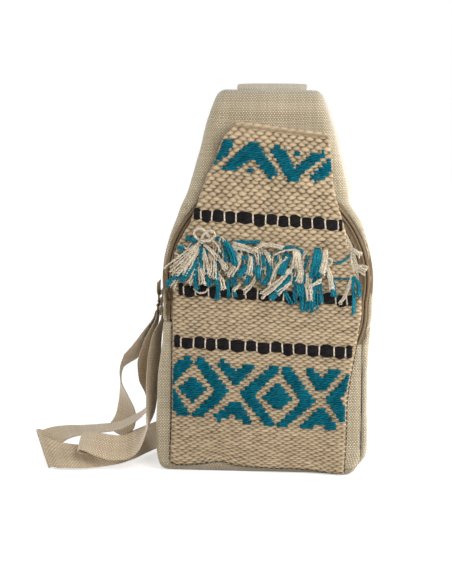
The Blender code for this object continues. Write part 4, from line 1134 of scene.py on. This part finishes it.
# Dark bands. Six strands of near-black roving laid side by side across the panel and tied down
# by thin pale threads, between which they swell like a string of beads, now higher, now lower.
bands = {
    "dark_band_upper": ((-0.0680, 0.2384), (0.0695, 0.2295), (
        -60.8, -50.6, -39.0, -28.4, -12.7, -1.1, 10.0, 20.5, 31.5, 41.6, 53.5, 65.5)),
    "dark_band_middle": ((-0.0820, 0.1687), (0.0825, 0.1603), (
        -77.1, -65.9, -53.8, -43.6, -31.6, -19.5, -8.4, 3.6, 15.6, 27.6, 38.6, 50.6, 63.5, 73.6)),
    "dark_band_lower": ((-0.0860, 0.1204), (0.0795, 0.1127), (
        -79.2, -67.4, -56.5, -46.2, -33.8, -19.3, -8.7, 3.8, 14.9, 25.1, 37.2, 48.9, 62.5, 73.0)),
}
strands, strand_pitch, strand_radius, tie_radius = 6, 0.00172, 0.00118, 0.00044
dark, ties = strand_mesh(), strand_mesh()
draws = random.Random(5)
for start, end, tied in bands.values():
    knots = [start[0]] + [mm / 1000 for mm in tied] + [end[0]]
    swell = [draws.uniform(0.75, 1.12) for _ in knots]
    shift = [0.0009 * (-1) ** i * draws.uniform(0.3, 1.2) for i in range(len(knots))]
    slope = (end[1] - start[1]) / (end[0] - start[0])
    beads = []
    for i in range(len(knots) - 1):
        cells = max(7, round((knots[i + 1] - knots[i]) / 0.0012))
        beads += [(i, k / cells) for k in range(cells)]
    beads.append((len(knots) - 2, 1.0))
    for strand in range(strands):
        path, off = [], strand - (strands - 1) / 2
        for i, a in beads:
            x = knots[i] + (knots[i + 1] - knots[i]) * a
            bulge = max(math.sin(math.pi * a), 0.0) ** 0.7
            if (i == 0 and a < 0.5) or (i == len(knots) - 2 and a > 0.5):
                bulge = max(bulge, 0.55)
            side = off * strand_pitch * (0.42 + 0.66 * bulge * swell[i])
            v = start[1] + slope * (x - start[0]) + side + shift[i] * bulge
            crown = 1 - abs(off) / 3.6
            path.append(on_panel(x, v, -0.0002 + 0.0009 * crown + 0.0017 * bulge * crown))
        lay_strand(dark, path, strand_radius, sides=7)
    for mm in tied:
        x = mm / 1000
        slant = draws.uniform(-0.0005, 0.0005)
        height = 0.0050 * draws.uniform(0.92, 1.08)
        for thread in (-0.00024, 0.00026):
            path = []
            for k in range(11):
                a = k / 5 - 1
                place = x + slant * a + thread
                v = start[1] + slope * (place - start[0]) + height * a
                path.append(on_panel(place, v, -0.0010 + 0.0031 * (1 - abs(a) ** 3.5)))
            lay_strand(ties, path, tie_radius)
dark_yarn = strand_material("dark_yarn", (0.0016, 0.0012, 0.0013), (0.031, 0.026, 0.027),
                            pitch=0.009, relief=0.0007, sheen=0.0)
finish_piece("dark_roving", close_strands(dark), dark_yarn, replaced=tuple(bands))
cream_yarn = strand_material("cream_yarn", (0.30, 0.215, 0.125), (1.0, 0.91, 0.74))
finish_piece("band_ties", close_strands(ties), cream_yarn)


# Fringe. Cut ends and loops of the undyed and the teal yarn, drawn through the panel in a row
# below the top band and left long. Each yarn is two loosely twisted strands that open at the
# end. Yarns lie over each other in tufts, in no order; two are tied in a bow near the left.
def seen_at(across, down, lift):
    """A place above the panel, given in pixels of the view across and down."""
    x = -0.24803 + 0.00092183 * across + 0.00000693 * down
    v = 0.43260 + 0.00001359 * across - 0.00092134 * down
    return on_panel(x, v, lift)


def lay_yarn(bm, points, width, seed):
    """Two strands twisted round each other along a smooth line, fraying at the far end."""
    twist, loose, fray = 0.0052, 0.0009, 0.0035
    line = []
    for i in range(len(points) - 1):
        count = max(2, round((points[i + 1] - points[i]).length / 0.0011))
        line += [follow(points, i, k / count) for k in range(count)]
    line.append(points[-1])
    last, reach = len(line) - 1, distances(line)
    for side in (0.0, math.pi):
        path = []
        for i, point in enumerate(line):
            ahead = (line[min(i + 1, last)] - line[max(i - 1, 0)]).normalized()
            across = ahead.cross(off_panel).normalized()
            up = ahead.cross(across)
            turn = side + 2 * math.pi * reach[i] / twist + seed
            apart = width * 0.24
            left = reach[-1] - reach[i]
            if left < fray:
                apart += width * 0.45 * (1 - left / fray)
            wander = noise.noise_vector(Vector((reach[i] * 170, seed * 3.1, side))) * loose
            wander *= min(reach[i] / 0.004, 1.0)
            path.append(point + (across * math.cos(turn) + up * math.sin(turn)) * apart + wander)
        lay_strand(bm, path, width * 0.30, sides=5, blunt=0.25)


def lay_tuft(bm, points, width, lift, top, count=1, near=0.0, far=0.0):
    """Several yarns along one line given in pixels of the view, spreading towards the end."""
    last = len(points) - 1
    for k in range(count):
        share = 0.0 if count == 1 else 2 * k / (count - 1) - 1
        seed = draws.uniform(0, 6.28)
        rise = draws.uniform(0.0, 0.0030) + (0.0014 if count > 2 and k % 2 else 0.0)
        shorter = draws.uniform(-0.10, 0.10) if count > 1 else 0.0
        path = []
        for i, (across, down) in enumerate(points):
            step = Vector(points[min(i + 1, last)]) - Vector(points[max(i - 1, 0)])
            side = Vector((-step.y, step.x)).normalized()
            part = i / last
            away = share * (near + (far - near) * part)
            if count > 1:
                away += draws.uniform(-0.7, 0.7) * part
            place = Vector((across, down)) + side * away
            if i == last:
                place += (place - Vector(points[i - 1])) * shorter
            arched = math.sin(math.pi * min(part * 1.2, 1.0) * 0.75)
            path.append(seen_at(place.x, place.y, lift + (top - lift) * arched + rise * part))
        lay_yarn(bm, path, width * draws.uniform(0.88, 1.10), seed)


# The vector noise differs from run to run unless it is seeded
noise.seed_set(23)
draws = random.Random(23)
cream_fringe, teal_fringe = strand_mesh(), strand_mesh()

# Yarns close to the panel, in no order, behind the tufts; a gap at the right stays bare
behind = 96
for k in range(behind):
    across = 184 + 164 * (k + draws.uniform(-0.4, 0.4)) / (behind - 1)
    down = 238 + 0.085 * (across - 184) + draws.uniform(0, 12)
    drop, slant = draws.uniform(13, 33), draws.uniform(-7, 5)
    bend = draws.uniform(-3.5, 3.5)
    if 318 < across < 352:
        continue
    points = [(across, down), (across + slant * 0.5 + bend, down + drop * 0.5),
              (across + slant, down + drop)]
    bm = teal_fringe if k % 5 in (1, 3) else cream_fringe
    lay_tuft(bm, points, 0.00180, 0.0008, 0.0020)

thin, plain, thick, loop = 0.00190, 0.00215, 0.00245, 0.0025
# Line, width, number of yarns, half spread near and far, lift near and at the top in mm
cream_yarns = (
    (((201, 241), (195.2, 234), (196, 229.5), (201, 227.7), (207, 231),
     (211, 237.5)), loop, 1, 0, 0, 4, 6),
    (((201, 241), (207, 231.6), (212, 229.6), (216.6, 233), (213.5, 238),
     (202, 241.5)), loop, 1, 0, 0, 5, 7),
    (((180, 245), (186, 247), (191, 249), (197, 244), (203, 238)), plain, 1, 0, 0, 3, 6),
    (((174, 252), (178.5, 253.5), (180.5, 259)), thin, 1, 0, 0, 2, 3),
    (((200, 243), (190, 254), (171.5, 272)), thin, 6, 1.5, 7.5, 3, 5),
    (((201, 245), (192, 262), (183.5, 277)), plain, 2, 0.8, 1.5, 3, 6),
    (((200, 244), (191, 257), (182, 268)), plain, 2, 0.8, 1.5, 3, 6),
    (((186, 268), (176, 279), (170, 287)), thin, 3, 1.0, 3.5, 2, 3),
    (((203, 247), (206, 260), (208, 275)), plain, 4, 1.0, 3.0, 3, 5),
    (((196, 262), (194, 274), (189, 284)), plain, 2, 0.8, 1.6, 3, 4),
    (((199, 256), (201, 270), (203, 285)), plain, 3, 0.8, 3.0, 4, 5),
    (((204, 243.5), (212, 250), (219.4, 259)), plain, 2, 0.4, 1.6, 3, 6),
    (((201, 241), (208, 239), (215, 240.5), (222, 252)), thin, 1, 0, 0, 4, 6),
    (((221, 247), (220.5, 240), (223, 236.5), (226, 241)), thin, 1, 0, 0, 3, 5),
    (((232, 244.6), (244, 247), (256, 251)), plain, 5, 3.4, 1.4, 3, 4),
    (((256, 251), (253.5, 248.5), (256, 246.8), (257.8, 249.6), (254.5, 252)), thin, 1, 0, 0, 4, 6),
    (((209, 252), (214, 262), (213, 278)), plain, 3, 0.8, 2.6, 3, 5),
    (((218.7, 258), (223, 263), (228, 269)), plain, 3, 0.6, 2.2, 3, 5),
    (((229, 262), (233, 266), (236, 272)), plain, 2, 0.4, 1.8, 3, 5),
    (((240, 252), (238, 262), (229, 276)), plain, 3, 1.0, 2.6, 3, 5),
    (((251, 255), (251, 265), (248.7, 275)), plain, 3, 0.8, 3.0, 3, 5),
    (((241, 283), (237, 287), (233, 290)), plain, 2, 0.4, 1.2, 3, 4),
    (((258, 272), (252, 284), (243.6, 292)), plain, 2, 0.4, 1.4, 3, 4),
    (((193, 287.5), (199, 291.5), (205, 291.5), (208.5, 288)), thin, 1, 0, 0, 3, 4),
    (((214, 270), (222, 280), (224, 290)), plain, 2, 0.6, 1.6, 2, 4),
    (((255, 249), (262.5, 244.4), (273, 244.6), (285, 247)), plain, 2, 0.8, 1.2, 3, 5),
    (((273, 255), (286, 250), (298, 249)), plain, 1, 0, 0, 3, 5),
    (((264.7, 249.6), (268, 255), (270.7, 262)), plain, 2, 0.5, 1.4, 3, 5),
    (((275, 265), (282, 262), (288, 256)), plain, 1, 0, 0, 4, 6),
    (((296, 247), (297, 256), (297, 268)), plain, 6, 2.0, 4.5, 3, 5),
    (((326, 249), (325, 261), (320, 273)), plain, 5, 1.2, 3.2, 4, 6),
    (((325, 262), (329.5, 273), (332.6, 290.5)), plain, 3, 0.8, 1.6, 4, 5),
    (((326, 262), (327, 258.2), (331.5, 258.8), (331.6, 263.4), (327.5, 264)), thin, 1, 0, 0, 5, 7),
    (((349.5, 247.5), (355, 250.5), (361.7, 255)), thick, 3, 0.5, 1.6, 2, 4),
    (((350.5, 249), (351.2, 257), (352.8, 266)), thin, 1, 0, 0, 1, 2),
    (((351, 268), (358, 267.5), (366.5, 270.5)), plain, 6, 1.4, 3.4, 3, 6),
    (((351.5, 274), (347.5, 291), (339.5, 304)), thin, 2, 0.3, 1.4, 2, 3),
    (((293, 266), (281, 280), (262, 295)), plain, 4, 1.0, 2.2, 4, 6),
    (((292, 281), (285, 287), (278, 293)), plain, 2, 0.6, 1.4, 4, 5),
    (((308, 272), (309, 286), (311, 300)), plain, 4, 1.2, 3.0, 3, 5),
    (((304, 285), (312, 284.5), (322, 279)), plain, 2, 0.6, 1.2, 5, 6),
    (((300, 262), (301, 272), (300, 283)), plain, 4, 1.4, 3.2, 3, 5),
    (((283, 258), (276, 270), (270, 284)), plain, 3, 0.8, 2.0, 3, 5))
teal_yarns = (
    (((186, 236), (191.5, 238.5), (198, 240)), thick, 3, 1.2, 1.6, 2, 3),
    (((177, 246.5), (180.5, 247), (185, 248.6)), thick, 2, 0.9, 1.3, 2, 3),
    (((187, 268), (177, 276), (165.5, 284)), thick, 4, 1.0, 2.0, 3, 4),
    (((198, 258), (191, 270), (181, 281)), thick, 4, 0.9, 2.0, 4, 5),
    (((202, 245), (201.5, 256), (200, 268)), plain, 2, 0.7, 1.1, 4, 6),
    (((197.4, 266), (196, 278), (197.5, 289)), plain, 3, 1.0, 1.8, 4, 4),
    (((204, 262), (209, 274), (208, 286)), plain, 3, 0.8, 2.4, 3, 4),
    (((216.5, 237), (226, 241), (232, 251), (236, 265)), thick, 4, 1.4, 2.4, 3, 5),
    (((224.5, 245), (227, 254), (226.7, 262)), plain, 2, 0.6, 1.2, 3, 4),
    (((213, 262), (217, 274), (216, 284)), plain, 3, 0.8, 2.0, 3, 4),
    (((232, 241.7), (246, 241.3), (260, 241.9)), plain, 2, 0.7, 0.7, 0, 1),
    (((237.7, 258.5), (243, 256.8), (249, 258)), plain, 2, 0.7, 1.2, 3, 4),
    (((249.5, 262), (245, 268), (238.5, 275)), thick, 3, 0.8, 2.2, 3, 5),
    (((236, 266), (234, 275), (235, 285)), plain, 3, 1.2, 2.2, 2, 3),
    (((246, 268), (248, 276), (246.5, 285)), plain, 3, 1.2, 2.4, 2, 3),
    (((218, 280), (218.4, 290), (217.6, 299)), plain, 3, 0.8, 1.6, 3, 3),
    (((228, 278), (229, 288), (229, 297)), plain, 2, 0.6, 1.0, 3, 3),
    (((233, 286), (235, 291.5), (236.5, 297)), thin, 2, 0.4, 0.9, 2, 3),
    (((277, 253), (284, 248.5), (291, 246.6), (304, 252)), plain, 2, 0.7, 1.0, 2, 4),
    (((290, 253), (286, 263), (281, 275)), thick, 5, 1.4, 3.0, 3, 5),
    (((262.5, 254), (264, 260), (266, 266)), plain, 2, 0.6, 1.2, 3, 5),
    (((318, 247), (317, 260), (315, 277)), thick, 9, 2.0, 5.0, 3, 6),
    (((331.6, 276), (333, 287), (334, 297)), plain, 3, 1.2, 2.0, 3, 4),
    (((332, 262), (339, 262.4), (346, 259), (351, 254.5)), plain, 1, 0, 0, 0, 1),
    (((334.5, 277.8), (338, 278.4), (342, 278.2)), plain, 1, 0, 0, 0, 1),
    (((343, 278.4), (346, 278.8), (349.5, 278.4)), plain, 1, 0, 0, 0, 1),
    (((352.8, 276), (358, 283), (358.7, 297)), thick, 3, 0.8, 1.4, 3, 5),
    (((352.8, 276), (353.6, 294), (353.8, 314)), plain, 3, 0.8, 1.2, 3, 4),
    (((304, 274), (302.5, 292), (302.8, 311)), thick, 3, 1.0, 1.6, 3, 4),
    (((307, 278), (307, 294), (307.4, 311)), plain, 3, 1.0, 1.4, 2, 3),
    (((312, 276), (311.5, 292), (311.5, 311)), plain, 3, 1.0, 1.6, 3, 4),
    (((315, 272), (316, 290), (316, 308)), plain, 2, 0.8, 1.2, 3, 4),
    (((318, 270), (320.5, 288), (321.4, 304)), plain, 2, 0.8, 1.2, 3, 3),
    (((295, 276), (298.5, 286), (301, 297)), plain, 3, 0.8, 1.6, 3, 4),
    (((283, 288), (288, 296), (292, 304)), plain, 2, 0.6, 1.4, 3, 3),
    (((294, 288), (295, 295), (296.4, 303)), plain, 2, 0.6, 1.2, 3, 3),
    (((291, 276), (282, 287), (271, 298)), thick, 5, 1.2, 2.2, 3, 5),
    (((262, 262), (258, 270), (259, 279)), plain, 3, 1.0, 2.2, 2, 4),
    (((270, 262), (270, 272), (265, 284)), plain, 3, 1.0, 2.2, 2, 4))
for bm, yarns in ((cream_fringe, cream_yarns), (teal_fringe, teal_yarns)):
    for points, width, count, near, far, lift, top in yarns:
        lay_tuft(bm, points, width, lift / 1000, top / 1000, count, near, far)

fringe_teal_yarn = strand_material("fringe_teal", (0.0006, 0.020, 0.034), (0.022, 0.345, 0.455),
                                   sheen=0.03)
cream_tufts = finish_piece("fringe_cream_tufts", close_strands(cream_fringe), cream_yarn,
                           replaced=("fringe_cream",))
teal_tufts = finish_piece("fringe_teal_tufts", close_strands(teal_fringe), fringe_teal_yarn,
                          replaced=("fringe_teal",))


# Stitching. Dark thread in short, even stitches along the panel's sides and foot, in the seam that holds
# it to the canvas up to the ends of the zip. The thread's dark colour also stands in for the shade in
# the seam's groove, as painted shade.
def lay_stitches(bm, line, lift):
    """Separate stitches along a line of places on the front."""
    length, gap = 0.0036, 0.0011
    line = [from_front(x, lift, v) for x, v in line]
    reach = distances(line)

    def at(distance):
        i = max(k for k in range(len(line) - 1) if reach[k] <= distance or k == 0)
        point = line[i].lerp(line[i + 1], (distance - reach[i]) / (reach[i + 1] - reach[i]))
        return point + Vector((0, -foot_forward(point.x, point.z), 0))

    start = 0.0
    while start + length < reach[-1]:
        path = [at(start + length * k / 6) for k in range(7)]
        for k, point in enumerate(path):
            point.y += 0.0006 * abs(k / 3 - 1) ** 3
        lay_strand(bm, path, 0.00036)
        start += length + gap


stitches = strand_mesh()
for edge, outwards, low, count in ((left_edge, -0.0006, 0.0095, 33),
                                   (right_edge, 0.0008, 0.0035, 30)):
    levels = [low + 0.0040 * k for k in range(count)]
    lay_stitches(stitches, [(curve_value(edge, v) + outwards, v) for v in levels], 0.0012)
foot_line = [weft_line(low_level, k / 48) for k in range(49)]
lay_stitches(stitches, [(x, v - 0.0008) for x, v in foot_line], 0.0011)
# Partly painted shade: the thread's dark brown also stands in for the shade in the seam's groove
seam_thread_and_groove_shade = strand_material("seam_thread_and_groove_shade", (0.014, 0.009, 0.005), (0.085, 0.058, 0.034),
                              pitch=0.0012, relief=0.0001)
finish_piece("panel_stitches", close_strands(stitches), seam_thread_and_groove_shade)


# Rings. Three rectangular loops bent from round wire of blackened brass, their ends butted under
# the webbing: one at the side tab, one below it as the adjuster and one behind the top, at the
# wide strap base.
def lay_ring(centre, across):
    """A rectangular loop of wire, upright, as wide as the webbing needs it."""
    centre, across, up = Vector(centre), Vector(across), Vector((0, 0, 1))
    away = across.cross(up)
    wide, corner, around = ring_inside / 2 + ring_wire / 2, 0.0016, 14
    line = []
    for side, level, start in ((1, 1, 0), (-1, 1, 90), (-1, -1, 180), (1, -1, 270)):
        for step in range(9):
            turn = math.radians(start + 90 * step / 8)
            way = across * math.cos(turn) + up * math.sin(turn)
            bend = centre + across * side * (wide - corner) + up * level * (bar_up - corner)
            line.append((bend + way * corner, way))
    line.append(line[0])

    def lay(column, row):
        point, way = line[row]
        turn = 2 * math.pi * column / around
        return (point + (way * math.cos(turn) + away * math.sin(turn)) * ring_wire / 2,
                (turn * 0.0009, row * 0.0009))

    return close_tube(cloth_grid(around, len(line) - 1, lay))


side_ring_place, adjuster_place = (-0.1024, 0.003, 0.1578), (-0.1034, 0.003, 0.1470)
for name, node, place, across in (
        ("ring_at_side", "side_ring", side_ring_place, (0, 1, 0)),
        ("ring_adjuster", "side_adjuster", adjuster_place, (0, 1, 0)),
        ("ring_at_base", "base_ring", base_ring_place, (1, 0, 0))):
    finish_piece(name, lay_ring(place, across), bronze, replaced=(node,))


# Webbing. Undyed cotton webbing, 25 mm wide and 1.1 mm thick, in a close plain weave with firm
# selvedges: a short tab and link at the side, the long strap from the adjuster down over the
# floor and up behind the bag, and the doubled tails that hang from the adjuster.
webbing_width, webbing_thickness = 0.025, 0.0011
layer = ring_wire / 2 + ring_gap + webbing_thickness / 2
outer_layer = layer + webbing_thickness + ring_gap
along_y, leftwards, rightwards = (0, 1, 0), (-1, 0, 0), (1, 0, 0)
upwards, downwards = (0, 0, 1), (0, 0, -1)
front_tail_route = (
    ((-0.1655, -0.0362, 0.0206), (0, 0.90, 0.42)), ((-0.1690, -0.0362, 0.0214), (0, 0.90, 0.43)),
    ((-0.1720, -0.0364, 0.0220), (0, 0.90, 0.44)), ((-0.1741, -0.0373, 0.0237), (0, 0.90, 0.44)),
    ((-0.1720, -0.0381, 0.0254), (0, 0.90, 0.44)), ((-0.1670, -0.0390, 0.0254), (0, 0.86, 0.50)),
    ((-0.1560, -0.0415, 0.0237), (0.02, 0.70, 0.71)), ((-0.1430, -0.0425, 0.0214), (0.05, 0.52, 0.85)),
    ((-0.1310, -0.0400, 0.0214), (0, 0.62, 0.78)), ((-0.1200, -0.0340, 0.0262), (-0.10, 0.85, 0.50)),
    ((-0.1125, -0.0260, 0.0360), (-0.08, 0.97, 0.06)), ((-0.1100, -0.0170, 0.0520), (0.20, 0.95, -0.22)),
    ((-0.1095, -0.0080, 0.0740), (0.34, 0.91, -0.24)), ((-0.1082, -0.0010, 0.1009), (0.36, 0.92, -0.15)),
    ((-0.1052, 0.0020, 0.1240), (0.22, 0.97, -0.05)), ((-0.1010, 0.0030, 0.1370), (0, 1, 0)))
back_tail_route = (
    ((-0.1078, 0.003, 0.1390), (0, 1, 0)), ((-0.1155, 0.006, 0.1244), (0.20, 0.97, -0.08)),
    ((-0.1231, 0.012, 0.1103), (0.34, 0.92, -0.20)), ((-0.1341, 0.020, 0.0966), (0.34, 0.90, -0.28)),
    ((-0.1435, 0.026, 0.0840), (-0.02, 1, -0.08)), ((-0.1451, 0.031, 0.0720), (-0.15, 0.98, 0)),
    ((-0.1430, 0.036, 0.0590), (-0.45, 0.88, 0.12)), ((-0.1410, 0.040, 0.0430), (-0.76, 0.60, 0.24)),
    ((-0.1440, 0.041, 0.0280), (-0.86, 0.42, 0.27)), ((-0.1520, 0.041, 0.0180), (-0.72, 0.62, 0.24)))
long_route = (
    ((-0.1056, 0.003, 0.1390), (0, 1, 0)), ((-0.1105, 0.007, 0.1240), (0.16, 0.98, -0.10)),
    ((-0.1157, 0.015, 0.1087), (0.32, 0.94, -0.16)), ((-0.1194, 0.018, 0.0919), (0.48, 0.86, -0.16)),
    ((-0.1183, 0.019, 0.0739), (0.46, 0.87, -0.18)), ((-0.1153, 0.020, 0.0597), (0.22, 0.95, -0.20)),
    ((-0.1173, 0.018, 0.0490), (-0.15, 0.97, -0.10)), ((-0.1298, 0.015, 0.0378), (-0.24, 0.95, 0.05)),
    ((-0.1448, 0.012, 0.0309), (-0.23, 0.97, 0.11)), ((-0.1608, 0.008, 0.0290), (-0.23, 0.96, 0.13)),
    ((-0.1767, 0.002, 0.0284), (-0.31, 0.94, 0.15)), ((-0.1922, -0.007, 0.0276), (-0.38, 0.87, 0.30)),
    ((-0.2032, -0.016, 0.0242), (-0.42, 0.74, 0.53)), ((-0.2098, -0.024, 0.0200), (-0.38, 0.66, 0.65)),
    ((-0.2098, -0.034, 0.0167), (-0.38, 0.48, 0.79)), ((-0.1995, -0.0405, 0.0148), (-0.42, 0.42, 0.80)),
    ((-0.1840, -0.0405, 0.0126), (-0.42, 0.50, 0.75)), ((-0.1664, -0.036, 0.0112), (-0.39, 0.57, 0.72)),
    ((-0.1494, -0.024, 0.0116), (-0.38, 0.53, 0.76)), ((-0.1350, 0.002, 0.0122), (-0.36, 0.45, 0.80)),
    ((-0.1243, 0.032, 0.0130), (-0.33, 0.32, 0.88)), ((-0.1120, 0.062, 0.0138), (-0.42, 0.11, 0.90)),
    ((-0.0900, 0.084, 0.0190), (-0.57, -0.05, 0.82)), ((-0.0640, 0.086, 0.0430), (-0.82, 0, 0.57)),
    ((-0.0430, 0.079, 0.0850), (-0.92, 0, 0.38)), ((-0.0260, 0.073, 0.1330), (-0.97, 0, 0.22)),
    ((-0.0120, 0.069, 0.1850), (-0.99, 0, 0.12)), ((-0.0020, 0.0675, 0.2350), (-1, 0, 0.02)),
    ((0, 0.0675, 0.2460), (-1, 0, 0)))


def wide(route):
    """Stations of a route in the webbing's width."""
    return [(place, across, webbing_width) for place, across in route]


def bar_of(ring, level):
    """The middle of a ring's upper (1) or lower (-1) bar."""
    return Vector(ring) + Vector((0, 0, level * bar_up))


webbing = cloth_material("cotton_webbing", (0.00125, 0.00150), (0.29, 0.190, 0.102),
                         (1.0, 0.835, 0.60), 0.00040, 0.10, 0.9, under=0.66, rim_highlight=0.8)
side_bar, adjuster_bar = bar_of(adjuster_place, 1), bar_of(adjuster_place, -1)
tab = [((-0.09805, 0.003, 0.1780), along_y, webbing_width),
       ((-0.09805, 0.003, 0.1700), along_y, webbing_width),
       *hook_stations(bar_of(side_ring_place, 1), layer, rightwards, downwards, along_y,
                      webbing_width, 0.010)]
link = hook_stations(bar_of(side_ring_place, -1), layer, leftwards, upwards, along_y,
                     webbing_width, 0)[:-1]
link += hook_stations(side_bar, layer, rightwards, downwards, along_y, webbing_width, 0)[:-1]
tails = wide(front_tail_route)
tails += hook_stations(adjuster_bar, outer_layer, leftwards, upwards, along_y, webbing_width,
                       0)[-2::-1]
tails += wide(back_tail_route)
long_strap = hook_stations(adjuster_bar, layer, leftwards, upwards, along_y, webbing_width,
                           0.002)[::-1]
long_strap += wide(long_route)
long_strap += hook_stations(bar_of(base_ring_place, -1), layer, along_y, upwards, leftwards,
                            webbing_width, 0.002)
for name, node, band, held, rests in (
        ("webbing_tab", "side_tab", tab, "folded", ["ring_at_side"]),
        ("webbing_link", "side_link", link, "folded", ["ring_at_side"]),
        ("webbing_tails", "strap_tails", tails, "hung", ["ring_adjuster"]),
        ("webbing_long", "strap_long", long_strap, "hung", ["ring_adjuster", "ring_at_base"])):
    bm, length = lay_band(band, webbing_thickness, step=0.0016)
    piece = finish_piece(name, bm, webbing, replaced=(node,))
